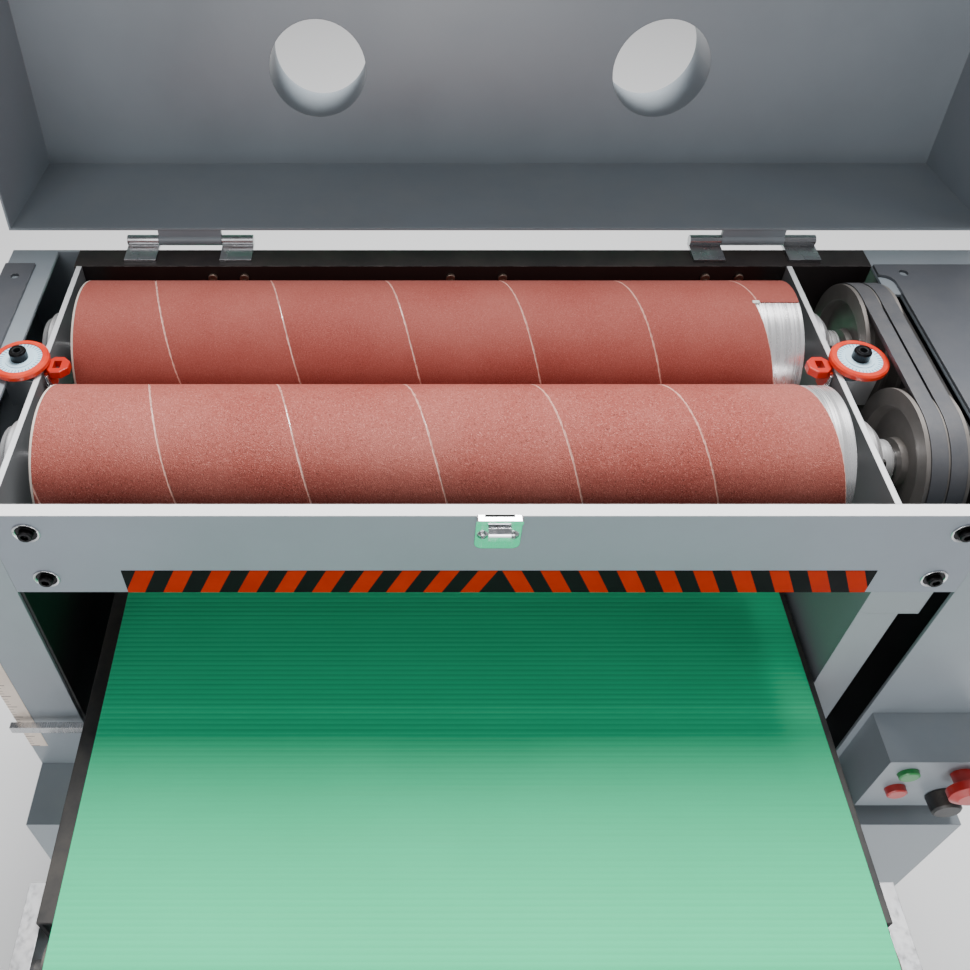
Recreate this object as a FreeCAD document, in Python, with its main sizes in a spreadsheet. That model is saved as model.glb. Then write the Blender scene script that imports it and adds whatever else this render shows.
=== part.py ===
"""Double-drum sander on a floor cabinet, cover open. Millimetres, +Z up, front towards -Y."""
import FreeCAD, Part
import math
import os
import re
import Sketcher

SIZES = {
    # drums
    "drum_height": 920, "drum_pitch": 140, "drum_core_radius": 63.5, "drum_wall": 6,
    "wrap_thickness": 1, "drum_length": 635, "shaft_radius": 12.5, "shaft_fit": 0.06,
    "plate_gap": 15.5, "plate_sheet": 5,
    # head frame: its opening is centred on x = 0 and follows the drums and the belt run
    "left_gap": 22.9, "belt_gap": 56.5, "pulley_room": 23.9, "left_column": 64, "right_column": 113.1,
    "head_front": 165.3, "head_rear": 165, "panel_height": 96.4, "head_rise": 45.5, "sheet": 3,
    "beam_inner": 139, "flange_depth": 11.4, "bracket_back": 4, "panel_screw_in_left": 28.9,
    "panel_screw_in_right": 24.9, "panel_screw_high": 26, "panel_screw_low": -31.6, "screw_shank": 4,
    "left_cover_in": 27.9, "right_cover_in": 12.6,
    # pulleys, belts, motor and the guard round them
    "belt_width": 13, "belt_depth": 8, "belt_pitch": 15, "pulley_radius": 61.5,
    "motor_pulley_radius": 50, "groove_depth": 11, "groove_gap": 0.32, "groove_slope": 0.344,
    "pulley_width": 35, "motor_height": 250, "motor_radius": 90, "guard_gap": 6, "guard_in": 9.9,
    "guard_notch": 17, "guard_step_down": 42.1, "guard_drop": 229.1, "guard_back": 132,
    # conveyor table and its lift
    "table_in_left": 27.4, "table_in_right": 66.9, "belt_in_left": 13.6, "belt_in_right": 5.9,
    "belt_top": 725.9, "belt_sheet": 2, "bed_half": 372, "roller_reach": 400, "roller_radius": 28,
    "lift_in": 99.75, "screw_radius": 10, "post_offset": 180, "post_spread": 55, "post_radius": 12,
    "wheel_height": 500, "wheel_radius": 82, "wheel_stand": 40, "spindle_radius": 9,
    # cabinet and door
    "cabinet_top": 560, "cabinet_bottom": 45, "cabinet_half": 230, "anchor_x": 400,
    "anchor_y": 260, "anchor_hole": 6, "door_left": -150, "door_right": 330, "door_low": 90,
    "door_high": 450, "door_lap": 10,
    # hood
    "hood_lift": 3.5, "hood_height": 141, "hood_open": 95, "hood_pivot_y": 172, "hood_pivot_lift": 6.5,
    "port_radius": 50,
    # pressure rollers
    "press_reach": 147, "press_radius": 12, "press_drop": 54.5,
    # dials and controls
    "left_dial_out": 12.1, "right_dial_in": 58.9, "box_in": 7.1, "box_width": 100, "box_low": 572,
    "box_high": 668, "box_depth": 50, "button_pocket": 18,
    "clearance": 0.3,
}

DERIVED = {
    "right_gap": "plate_gap + belt_gap + pulley_room",
    "opening_half": "(drum_length + left_gap + right_gap) / 2",
    "drum_middle": "(left_gap - right_gap) / 2",
    "drum_left": "drum_middle - drum_length / 2",
    "drum_right": "drum_middle + drum_length / 2",
    "drum_radius": "drum_core_radius + wrap_thickness",
    "drum_reach": "drum_pitch / 2",
    "left_side": "-opening_half - left_column",
    "right_side": "opening_half + right_column",
    "head_top": "drum_height + head_rise",
    "panel_bottom": "head_top - panel_height",
    "panel_back": "-head_front + sheet",
    "bracket_face": "-head_front + sheet + bracket_back",
    "panel_screw_left": "-opening_half + panel_screw_in_left",
    "panel_screw_right": "opening_half - panel_screw_in_right",
    "left_cover": "left_side + left_cover_in",
    "right_cover": "opening_half + right_cover_in",
    "left_plate": "drum_left - plate_gap",
    "right_plate": "drum_right + plate_gap",
    "housing_left": "left_plate - plate_sheet",
    "housing_right": "right_plate + plate_sheet",
    "belt_line": "opening_half - pulley_room",
    "motor_face": "belt_line - 53",
    "left_dial": "-opening_half - left_dial_out",
    "right_dial": "opening_half - right_dial_in",
    "table_left": "-opening_half + table_in_left",
    "table_right": "opening_half - table_in_right",
    "table_middle": "(table_left + table_right) / 2",
    "belt_left": "table_left + belt_in_left",
    "belt_right": "table_right - belt_in_right",
    "guard_left": "table_right + guard_gap",
    "guard_right": "opening_half - guard_in",
    "guard_narrow": "guard_right - guard_notch",
    "guard_step": "panel_bottom - guard_step_down",
    "guard_low": "panel_bottom - guard_drop",
    "roller_height": "belt_top - belt_sheet - roller_radius",
    "bed_top": "belt_top - belt_sheet",
    "lift_offset": "(table_right - table_left) / 2 - lift_in",
    "screw_left": "table_middle - lift_offset",
    "screw_right": "table_middle + lift_offset",
    "post_left": "screw_left - post_spread",
    "post_right": "screw_right + post_spread",
    "press_height": "drum_height - press_drop",
    "hinge_line": "door_right + 6",
    "hood_base": "head_top + hood_lift",
    "hood_top": "hood_base + hood_height",
    "hood_pivot_z": "head_top + hood_pivot_lift",
    "box_left": "opening_half + box_in",
    "box_right": "box_left + box_width",
    "box_front": "-head_front - box_depth",
}

doc = FreeCAD.newDocument("drum_sander")
dims = doc.addObject("Spreadsheet::Sheet", "dims")
NAMES = re.compile(r"\b(" + "|".join(list(SIZES) + list(DERIVED)) + r")\b")


def formula(text):
    """Write a size name, or arithmetic on names, as an expression on the sheet."""
    return NAMES.sub(r"dims.\1", str(text))


for row, (name, value) in enumerate(SIZES.items(), 1):
    dims.set(f"A{row}", name)
    dims.set(f"B{row}", str(value))
    dims.setAlias(f"B{row}", name)
for row, (name, text) in enumerate(DERIVED.items(), len(SIZES) + 1):
    dims.set(f"A{row}", name)
    dims.set(f"B{row}", "=" + text)
    dims.setAlias(f"B{row}", name)
doc.recompute()

NODES = []
TURN = {  # the rotation that lays local +Z along an axis
    "X": FreeCAD.Rotation(FreeCAD.Vector(0, 1, 0), 90),
    "Y": FreeCAD.Rotation(FreeCAD.Vector(1, 0, 0), -90),
    "Z": FreeCAD.Rotation(),
}
SPIN = {  # the rotation that lays local +X along an axis
    "X": FreeCAD.Rotation(),
    "Y": FreeCAD.Rotation(FreeCAD.Vector(0, 0, 1), 90),
    "Z": FreeCAD.Rotation(FreeCAD.Vector(0, 1, 0), -90),
}


def bind(thing, **formulas):
    """Tie properties to the sheet; a double underscore in a keyword stands for a dot."""
    for prop, text in formulas.items():
        thing.setExpression(prop.replace("__", "."), formula(text))
    return thing


def place(thing, x=0, y=0, z=0):
    return bind(thing, Placement__Base__x=x, Placement__Base__y=y, Placement__Base__z=z)


def box(x, y, z):
    """A block between two formulas along each axis."""
    block = doc.addObject("Part::Box", "block")
    bind(block, Length=f"({x[1]}) - ({x[0]})", Width=f"({y[1]}) - ({y[0]})",
         Height=f"({z[1]}) - ({z[0]})")
    return place(block, x[0], y[0], z[0])


def rod(axis, radius, span, first, second):
    """A round bar along an axis; first and second are its centre on the other two axes."""
    bar = doc.addObject("Part::Cylinder", "rod")
    bind(bar, Radius=radius, Height=f"({span[1]}) - ({span[0]})")
    bar.Placement.Rotation = TURN[axis]
    spots = {"X": (span[0], first, second), "Y": (first, span[0], second),
             "Z": (first, second, span[0])}
    return place(bar, *spots[axis])


def fuse(*shapes):
    if len(shapes) == 1:
        return shapes[0]
    whole = doc.addObject("Part::MultiFuse", "fuse")
    whole.Shapes = list(shapes)
    return whole


def cut(base, *tools):
    rest = doc.addObject("Part::Cut", "cut")
    rest.Base = base
    rest.Tool = fuse(*tools)
    return rest


def group(*shapes):
    """Several solids of one node, side by side."""
    if len(shapes) == 1:
        return shapes[0]
    pack = doc.addObject("Part::Compound", "group")
    pack.Links = list(shapes)
    return pack


def node(label, *shapes):
    """Name a finished sub-part."""
    whole = group(*shapes)
    whole.Label = label
    NODES.append(whole)
    return whole


def sketch(body, plane, points):
    """A closed polygon on one of the body's own planes, each corner tied to two formulas."""
    outline = body.newObject("Sketcher::SketchObject", "outline")
    origin = [item for item in body.Origin.OriginFeatures if item.Role == plane][0]
    outline.AttachmentSupport = (origin, [""])
    outline.MapMode = "FlatFace"
    count = len(points)
    angles = [math.tau * k / count + 0.1 for k in range(count)]
    guess = [FreeCAD.Vector(math.cos(angle), math.sin(angle), 0) for angle in angles]
    for k in range(count):
        outline.addGeometry(Part.LineSegment(guess[k], guess[(k + 1) % count]), False)
    for k in range(count):
        outline.addConstraint(Sketcher.Constraint("Coincident", k, 2, (k + 1) % count, 1))
    for k, corner in enumerate(points):
        starts = (guess[k].x, guess[k].y)
        for kind, text, start in zip(("DistanceX", "DistanceY"), corner, starts):
            index = outline.addConstraint(Sketcher.Constraint(kind, -1, 1, k, 1, start))
            outline.setExpression(f"Constraints[{index}]", formula(text))
    return outline


def turned(axis, points, x=0, y=0, z=0):
    """A piece turned about an axis: points are (place along the axis, radius)."""
    body = doc.addObject("PartDesign::Body", "turned")
    outline = sketch(body, "XY_Plane", points)
    spin = body.newObject("PartDesign::Revolution", "spin")
    spin.Profile = outline
    spin.ReferenceAxis = (outline, ["H_Axis"])
    spin.Angle = 360
    body.Tip = spin
    body.Placement.Rotation = SPIN[axis]
    return place(body, x, y, z)


def prism(plane, points, span):
    """A flat outline in the XY, XZ or YZ plane, thickened between two formulas."""
    body = doc.addObject("PartDesign::Body", "prism")
    outline = sketch(body, plane + "_Plane", points)
    pad = body.newObject("PartDesign::Pad", "pad")
    pad.Profile = outline
    bind(pad, Length=f"({span[1]}) - ({span[0]})")
    body.Tip = pad
    if plane == "XZ":
        return place(body, 0, span[1], 0)
    return place(body, span[0]) if plane == "YZ" else place(body, 0, 0, span[0])


def bored(shape, axis, radius, span, *centres):
    return cut(shape, *[rod(axis, radius, span, *centre) for centre in centres])


def socket_head(radius, height, seat, x, z):
    """A socket-head screw facing -Y: a round head on its seat, with a round socket in it."""
    head = rod("Y", radius, (f"{seat} - {height}", seat), x, z)
    socket = rod("Y", f"{radius} * 0.5", (f"{seat} - {height} - 1", f"{seat} - {height} * 0.4"), x, z)
    return cut(head, socket)


def corners(xs, ys):
    """Every pairing of two lists of places, as (x, y)."""
    return [(x, y) for x in xs for y in ys]


# ---------------------------------------------------------------- cabinet and feet

POST_SPOTS = corners(("post_left", "post_right"), ("-1 * post_offset", "1 * post_offset"))


def cabinet():
    """Six sheets, the front one in four strips round the doorway."""
    across = ("left_side + sheet", "right_side - sheet")
    deep = ("-cabinet_half", "cabinet_half")
    tall = ("cabinet_bottom + sheet", "cabinet_top - sheet")
    front = ("-cabinet_half", "-cabinet_half + sheet")
    doorway_x = ("door_left + door_lap", "door_right - door_lap")
    doorway_z = ("door_low + door_lap", "door_high - door_lap")
    base = box(("left_side", "right_side"), deep, ("cabinet_bottom", tall[0]))
    left = box(("left_side", across[0]), deep, tall)
    right = box((across[1], "right_side"), deep, tall)
    back = box(across, ("cabinet_half - sheet", "cabinet_half"), tall)
    sill = box(across, front, (tall[0], doorway_z[0]))
    jambs = [box(span, front, doorway_z) for span in ((across[0], doorway_x[0]), (doorway_x[1], across[1]))]
    lintel = box(across, front, (doorway_z[1], tall[1]))
    wheel = rod("Y", 16, ("-cabinet_half - 1", "-cabinet_half + sheet + 1"), "screw_left", "wheel_height")
    vents = [box(("right_side - sheet - 1", "right_side + 1"), (-150, 150), (160 + 24 * k, 168 + 24 * k))
             for k in range(8)]
    top = ("cabinet_top - sheet - 1", "cabinet_top + 1")
    roof = box(("left_side", "right_side"), deep, (tall[1], "cabinet_top"))
    belt_slot = box(("belt_line - 24", "belt_line + 24"), (-112, 112), top)
    nuts = [rod("Z", 25, top, side, 0) for side in ("screw_left", "screw_right")]
    posts = [rod("Z", "post_radius + 8", top, *spot) for spot in POST_SPOTS]
    node("cabinet_shell", base, left, cut(right, *vents), back, sill, *jambs, cut(lintel, wheel),
         cut(roof, belt_slot, *nuts, *posts))
    feet = []
    for side, end in corners((-1, 1), (-1, 1)):
        x = f"{side} * anchor_x"
        y = f"{end} * anchor_y"
        middle = f"{y} - {end} * 15"
        pad = box((f"{x} - 40", f"{x} + 40"), (f"{middle} - 40", f"{middle} + 40"), (0, 8))
        leg_y = f"{end} * (cabinet_half - 25)"
        leg = box((f"{x} - 25", f"{x} + 25"), (f"{leg_y} - 15", f"{leg_y} + 15"), (8, "cabinet_bottom"))
        feet.append(fuse(bored(pad, "Z", "anchor_hole", (-1, 9), (x, y)), leg))
    node("anchor_feet", *feet)
    bushes = []
    for spot in POST_SPOTS:
        barrel = rod("Z", "post_radius + 7.7", ("cabinet_top - 30", "cabinet_top + 12"), *spot)
        flange = rod("Z", "post_radius + 14", ("cabinet_top", "cabinet_top + 5"), *spot)
        bushes.append(bored(fuse(barrel, flange), "Z", "post_radius + shaft_fit",
                            ("cabinet_top - 31", "cabinet_top + 13"), spot))
    node("guide_bushes", *bushes)


def door():
    face = "-cabinet_half - clearance - sheet"
    across = ("-cabinet_half - 18", "-cabinet_half - clearance")
    panel = box(("door_left", "door_right"), (face, "-cabinet_half - clearance"), ("door_low", "door_high"))
    rims = [box((x, f"{x} + sheet"), across, ("door_low", "door_high"))
            for x in ("door_left", "door_right - sheet")]
    barrels = []
    pins = []
    for low in ("door_low + 40", "door_high - 90"):
        barrels.append(rod("Z", 6, (low, f"{low} + 50"), "hinge_line", "-cabinet_half - 9"))
        barrels.append(box(("door_right - sheet", "hinge_line"), ("-cabinet_half - 12", "-cabinet_half - 6"),
                           (low, f"{low} + 50")))
        for start in (f"{low} - 20 - clearance", f"{low} + 50 + clearance"):
            stretch = (start, f"{start} + 20")
            pins.append(fuse(rod("Z", 6, stretch, "hinge_line", "-cabinet_half - 9"),
                             box(("hinge_line - 2", "hinge_line + 2"), ("-cabinet_half - 9", "-cabinet_half"),
                                 stretch)))
    knob = turned("Y", [(-38, 0), (-38, 15), (-22, 18), (-16, 9), (0, 9), (0, 0)],
                  "door_left + 35", face, "(door_low + door_high) / 2")
    node("cabinet_door", fuse(panel, *rims, *barrels), knob)
    node("door_hinges", *pins)


# ---------------------------------------------------------------- head frame

def column(label, walls, inside, tab_reach, screw_x, slot):
    """A hollow column, open to the drums, with the bracket that the front panel bolts to."""
    block = box(walls, ("-head_front", "head_rear"), ("cabinet_top", "head_top"))
    hollow = box(inside, ("panel_back", "head_rear - sheet"), ("cabinet_top - 1", "head_top - sheet"))
    tab = box(tab_reach, ("panel_back", "bracket_face"), ("panel_bottom + 12", "head_top - 6"))
    spots = [(screw_x, f"drum_height + {height}") for height in ("panel_screw_high", "panel_screw_low")]
    tab = bored(tab, "Y", "screw_shank + 0.2", ("-head_front", "bracket_face + 1"), *spots)
    node(label, cut(block, hollow, slot), tab)


def uprights():
    top = ("head_top - sheet - 1", "head_top + 1")
    slot = box(("left_cover + 16", "-opening_half + 1"), ("panel_back", "head_rear - sheet"), top)
    column("left_upright", ("left_side", "-opening_half"), ("left_side + sheet", "-opening_half + 1"),
           ("-opening_half - 6", "-opening_half + 36"), "panel_screw_left", slot)
    slot = box(("opening_half - 1", "right_cover"), ("panel_back", 96), top)
    column("right_upright", ("opening_half", "right_side"), ("opening_half - 1", "right_side - sheet"),
           ("opening_half - 40", "opening_half + 6"), "panel_screw_right", slot)
    cover = ("head_top", "head_top + sheet")
    drill = ("head_top - 1", "head_top + sheet + 1")
    left_cover = bored(box(("left_side", "left_cover"), (-160, 140), cover), "Z", 4, drill,
                       ("left_cover - 14", 120), ("left_cover - 14", -130))
    plate = box(("right_cover", "right_side"), (-160, 138), cover)
    tongue = box(("right_cover - 12.5", "right_cover + 1"), (122, 138), cover)
    fillet = cut(box(("right_cover - 12", "right_cover"), (110, 122), cover),
                 rod("Z", 12, drill, "right_cover - 12", 110))
    right_cover = bored(fuse(plate, tongue, fillet), "Z", 4.5, drill,
                        ("right_cover + 11.5", 125), ("right_cover + 11.5", -130))
    node("top_plates", left_cover, right_cover)


def side_plate(x0, x1):
    x = (x0, x1)
    past = (f"{x0} - 1", f"{x1} + 1")
    tall = box(x, ("bracket_face", "beam_inner"), ("panel_bottom", "head_top"))
    low = box(x, ("beam_inner - 1", "head_rear - sheet"), ("panel_bottom", "panel_bottom + 36"))
    notch = box(past, ("-head_front", "-head_front + flange_depth"), ("head_top - sheet", "head_top + 1"))
    bores = [rod("X", "shaft_radius + 2", past, f"{sign} * drum_reach", "drum_height") for sign in (-1, 1)]
    return cut(fuse(tall, low), notch, *bores)


def front_panel():
    across = ("-opening_half", "opening_half")
    spots = corners(("panel_screw_left", "panel_screw_right"),
                    ("drum_height + panel_screw_high", "drum_height + panel_screw_low"))
    web = box(across, ("-head_front", "panel_back"), ("panel_bottom", "head_top"))
    flange = box(across, ("-head_front", "-head_front + flange_depth"), ("head_top - sheet", "head_top"))
    node("front_panel", bored(fuse(web, flange), "Y", "screw_shank + 0.2",
                              ("-head_front - 1", "-head_front + 9"), *spots))
    screws = []
    for spot in spots:
        screws.append(bored(rod("Y", 10.5, ("-head_front - 1.6", "-head_front"), *spot), "Y",
                            "screw_shank + clearance", ("-head_front - 2", "-head_front + 1"), spot))
        shank = rod("Y", "screw_shank", ("-head_front - 2", "bracket_face"), *spot)
        screws.append(fuse(socket_head(6.5, 8, "-head_front - 1.6", *spot), shank))
    bolts = [socket_head(5.5, 5, "beam_inner", x, "drum_height + 33")
             for x in (-247, -217, -20.5, 29, 222, 254)]
    node("frame_screws", *screws, *bolts)
    skin = ("-head_front - 0.5", "-head_front")
    node("hazard_tape", box((-287.5, 304), skin, ("panel_bottom + 0.4", "panel_bottom + 29.2")))
    node("depth_scale", box(("left_side", "left_side + 16.9"), skin, (600, "head_top - 8")))


def latch_keeper(left=-13.6, right=20.7, low="drum_height + 9.7"):
    """The plate on the panel's middle that the closed cover hooks onto."""
    front = "-head_front"
    plate = box((left, right), (f"{front} - 2", front), (low, "head_top"))
    roof = box((left, right), (f"{front} - 14", front), ("head_top", "head_top + 1.6"))
    hook = prism("YZ", [(f"{front} - 2", "drum_height + 22"), (f"{front} - 13", "drum_height + 17"),
                        (f"{front} - 13", "drum_height + 24"), (f"{front} - 6", "drum_height + 31"),
                        (f"{front} - 2", "drum_height + 31")], (left + 10.6, right - 10.7))
    cheeks = [box((x, x + 1.6), (f"{front} - 9", front), (low, "head_top")) for x in (left, right - 1.6)]
    studs = [rod("Y", 3.6, (f"{front} - 4", f"{front} - 2"), x, "drum_height + 18")
             for x in (left + 5.1, right - 5.1)]
    node("latch_keeper", fuse(plate, roof, hook, *cheeks, *studs))


def rear_beam():
    across = ("-opening_half", "opening_half")
    low = "panel_bottom + 36"
    web = box(across, ("beam_inner", "beam_inner + sheet"), (low, "head_top"))
    flange = box(across, ("beam_inner", "head_rear"), ("head_top - sheet", "head_top"))
    foot = box(across, ("beam_inner", "head_rear"), (low, f"{low} + sheet"))
    node("rear_beam", fuse(web, flange, foot))


def inner_walls():
    deep = ("panel_back", "head_rear - sheet")
    left = box(("-opening_half", "-opening_half + sheet"), deep, ("cabinet_top", "panel_bottom"))
    right = box(("opening_half + 6.1", "opening_half + 6.1 + sheet"), deep,
                ("cabinet_top", "head_top - sheet"))
    node("inner_walls", left, right)


def drive_guard(wall=2):
    """Sheets round the belt run: a side by the table, a stepped front and a shelf to the side plate."""
    front = ("bracket_face + clearance", f"bracket_face + clearance + {wall}")
    back = (front[1], "guard_back")
    side = box(("guard_left", f"guard_left + {wall}"), back, ("guard_low", "panel_bottom"))
    shelf = box(("right_plate", "guard_left"), ("-guard_back", "guard_back"),
                (f"panel_bottom - {wall}", "panel_bottom"))
    wide = box(("guard_left", "guard_right"), front, ("guard_step", "panel_bottom"))
    narrow = box(("guard_left", "guard_narrow"), front, ("guard_low", "guard_step"))
    node("drive_guard", side, shelf, wide, narrow)


# ---------------------------------------------------------------- drums and drive

def housings():
    """A round cap on the left of each drum and a nosed flange on the right, bored for the shaft."""
    bore = "shaft_radius + shaft_fit"
    cap = [(0, bore), (0, 35), (-10, 35), (-13.5, 31), (-16.5, 30), (-16.5, 2), (-13, 2), (-13, bore)]
    nose = [(0, bore), (0, 35), (11, 35), (16.5, 30), (16.5, 20), (31, 19), (31, bore)]
    pieces = [turned("X", points, side, f"{sign} * drum_reach", "drum_height")
              for sign in (-1, 1) for points, side in ((cap, "housing_left"), (nose, "housing_right"))]
    node("bearing_housings", *pieces)


def v_pulley(radius, bore, x, y, z):
    """Two grooves, a recess on the outer side, web and hub."""
    half = "pulley_width / 2"
    mouth = "(belt_width / 2 - groove_slope + groove_gap)"
    root = f"({mouth} - groove_depth * groove_slope)"
    points = [(-15, bore), (13, bore), (13, 20), (-2, 21), (-2, f"{radius} - 18"),
              (half, f"{radius} - 14"), (half, radius)]
    for side in ("belt_pitch / 2", "-belt_pitch / 2"):
        points += [(f"{side} + {mouth}", radius), (f"{side} + {root}", f"{radius} - groove_depth"),
                   (f"{side} - {root}", f"{radius} - groove_depth"), (f"{side} - {mouth}", radius)]
    points += [(f"-{half}", radius), (f"-{half}", f"{radius} - 14"), (-10, f"{radius} - 18"),
               (-10, 21), (-15, 20)]
    return turned("X", points, x, y, z)


def drum(label, sign):
    """A tube between two turned end caps on a through shaft, with its abrasive sleeve and pulley."""
    y, z = f"{sign} * drum_reach", "drum_height"
    span = ("drum_left", "drum_right")
    past = ("drum_left - 1", "drum_right + 1")
    tube = bored(rod("X", "drum_core_radius", span, y, z), "X", "drum_core_radius - drum_wall", past, (y, z))
    bore = "shaft_radius + 0.05"
    rim = "drum_core_radius - drum_wall - clearance"
    profile = [(4, bore), (4, 24), (9, 26), (9, f"{rim} - 8"), (3, rim), (24, rim), (24, f"{rim} - 6"),
               (17, f"{rim} - 9"), (17, 24), (34, 22), (34, bore)]
    ends = [turned("X", [(way * along, radius) for along, radius in profile], side, y, z)
            for side, way in (("drum_left", 1), ("drum_right", -1))]
    node(f"{label}_drum_core", tube, *ends)
    shaft = rod("X", "shaft_radius", ("housing_left - 12", "belt_line + 13"), y, z)
    node(f"{label}_drum_shaft", shaft)
    sleeve = rod("X", "drum_radius", span, y, z)
    node(f"{label}_abrasive", bored(sleeve, "X", "drum_core_radius", past, (y, z)))
    node(f"{label}_pulley", v_pulley("pulley_radius", bore, "belt_line", y, z))


def belt_loop(x):
    """One V-belt round the two drum pulleys and the motor pulley: three bends and three runs.

    The bends are turned sectors and the runs are prisms along the common tangents, whose
    directions follow from the pulley centres and radii.
    """
    size = {name: dims.get(name) for name in SIZES}
    reach = size["drum_pitch"] / 2
    drop = size["drum_height"] - size["motor_height"]
    apart = math.hypot(reach, drop)
    tilt = math.atan2(reach, drop) + math.asin((size["pulley_radius"] - size["motor_pulley_radius"]) / apart)
    outer = 1.0
    depth = size["belt_depth"]
    half = size["belt_width"] / 2
    slim = half - depth * size["groove_slope"]

    def section(centre, radius, angle):
        """The belt's trapezoid at one angle, seen from the front pulley axis, radially outward."""
        out = FreeCAD.Vector(0, math.cos(angle), math.sin(angle))
        spots = [(-half, radius), (half, radius), (slim, radius - depth), (-slim, radius - depth)]
        corners = [centre + out * far + FreeCAD.Vector(side, 0, 0) for side, far in spots]
        return Part.Face(Part.makePolygon(corners + corners[:1]))

    rear = FreeCAD.Vector(x, reach, size["drum_height"])
    front = FreeCAD.Vector(x, -reach, size["drum_height"])
    motor = FreeCAD.Vector(x, 0, size["motor_height"])
    big = size["pulley_radius"] + outer
    small = size["motor_pulley_radius"] + outer
    lean = -tilt
    bends = [(rear, big, lean, math.pi / 2), (front, big, math.pi / 2, math.pi - lean),
             (motor, small, math.pi - lean, math.tau + lean)]
    solids = []
    for k, (centre, radius, start, stop) in enumerate(bends):
        face = section(centre, radius, start)
        solids.append(face.revolve(centre, FreeCAD.Vector(1, 0, 0), math.degrees(stop - start)))
        after, next_radius, begin = bends[(k + 1) % 3][:3]
        out = FreeCAD.Vector(0, math.cos(stop), math.sin(stop))
        run = after + out * next_radius - centre - out * radius
        solids.append(section(centre, radius, stop).extrude(run))
    return solids[0].multiFuse(solids[1:]).removeSplitter()


def drive():
    loops = []
    for side in (-1, 1):
        loop = doc.addObject("Part::Feature", "belt")
        loop.Shape = belt_loop(dims.get("belt_line") + side * dims.get("belt_pitch") / 2)
        loops.append(loop)
    node("v_belts", *loops)
    far, slim, fit = "motor_radius", "motor_radius - 4", "shaft_radius - 0.5 + shaft_fit"
    shell = turned("X", [(-280, 0), (-280, f"{far} - 14"), (-268, slim), (-240, slim), (-240, far),
                         (-38, far), (-38, slim), (-10, slim), (0, f"{far} - 14"), (0, fit), (-30, fit),
                         (-30, 0)], "motor_face", 0, "motor_height")
    terminals = box(("motor_face - 240", "motor_face - 150"), (-55, 55),
                    ("motor_height + motor_radius - 20", "motor_height + motor_radius + 52"))
    node("motor_body", fuse(shell, terminals))
    upright = box(("motor_face", "motor_face + 6"), (-120, 120),
                  ("cabinet_bottom + sheet", "motor_height + 110"))
    through = ("motor_face - 1", "motor_face + 7")
    upright = bored(upright, "X", "shaft_radius + 3", through, (0, "motor_height"))
    foot = box(("motor_face - 60", "motor_face"), (-120, 120),
               ("cabinet_bottom + sheet", "cabinet_bottom + sheet + 6"))
    node("motor_mount", upright, foot)
    spindle = rod("X", "shaft_radius - 0.5", ("motor_face - 28", "belt_line + 13"), 0, "motor_height")
    pulley = v_pulley("motor_pulley_radius", "shaft_radius - 0.45", "belt_line", 0, "motor_height")
    node("motor_pulley", spindle, pulley)


# ---------------------------------------------------------------- adjusting dials

def dials():
    """Each dial stands in a block on its bearing housing's plate, with a pointer bracket inside."""
    seat = "head_top + 1"
    pin = "5 + shaft_fit"
    posts, pointers = [], []
    for label, inner, out in (("left", "left_plate", -1), ("right", "right_plate", 1)):
        x = f"{label}_dial"
        block = sorted(((out, f"{x} + {out} * 14"), (-out, f"{inner} + {out} * plate_sheet")))
        arm = box((block[0][1], block[1][1]), (-14, 14), ("head_top - 34", "head_top - 6"))
        barrel = rod("Z", 14, ("head_top - 34", "head_top - 6"), x, 0)
        neck = rod("Z", 7.7, ("head_top - 10", seat), x, 0)
        posts.append(bored(fuse(arm, barrel, neck), "Z", pin, ("head_top - 30", "head_top + 2"), (x, 0)))
        disc = turned("Z", [(0, 0), (0, 22.5), (1.5, 24), (5, 24), (6.5, 22.5), (6.5, 18.5), (5.7, 18.5),
                            (5.7, 12), (6.5, 12), (6.5, 7), (14, 7), (15, 6.2), (15, 3.2), (10, 3.2),
                            (10, 0)], x, 0, f"{seat} + 0.1")
        node(f"{label}_dial", fuse(disc, rod("Z", 5, ("head_top - 28", f"{seat} + 2"), x, 0)))
        spans = [(inner, f"{inner} + {-out} * {far}") for far in (3, 20)]
        spans.append((f"{inner} + {-out} * 3", f"{inner} + {-out} * 7"))
        if out > 0:
            spans = [(far, near) for near, far in spans]
        pointers.append(fuse(box(spans[0], (-10, 10), ("head_top - 26", "head_top + 0.4")),
                             box(spans[1], (-9, 9), ("head_top - 2", "head_top + 0.4"))))
        pointers.append(rod("X", 5.5, spans[2], 0, "head_top - 16"))
    node("dial_mounts", *posts)
    node("dial_pointers", *pointers)


# ---------------------------------------------------------------- conveyor table

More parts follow.
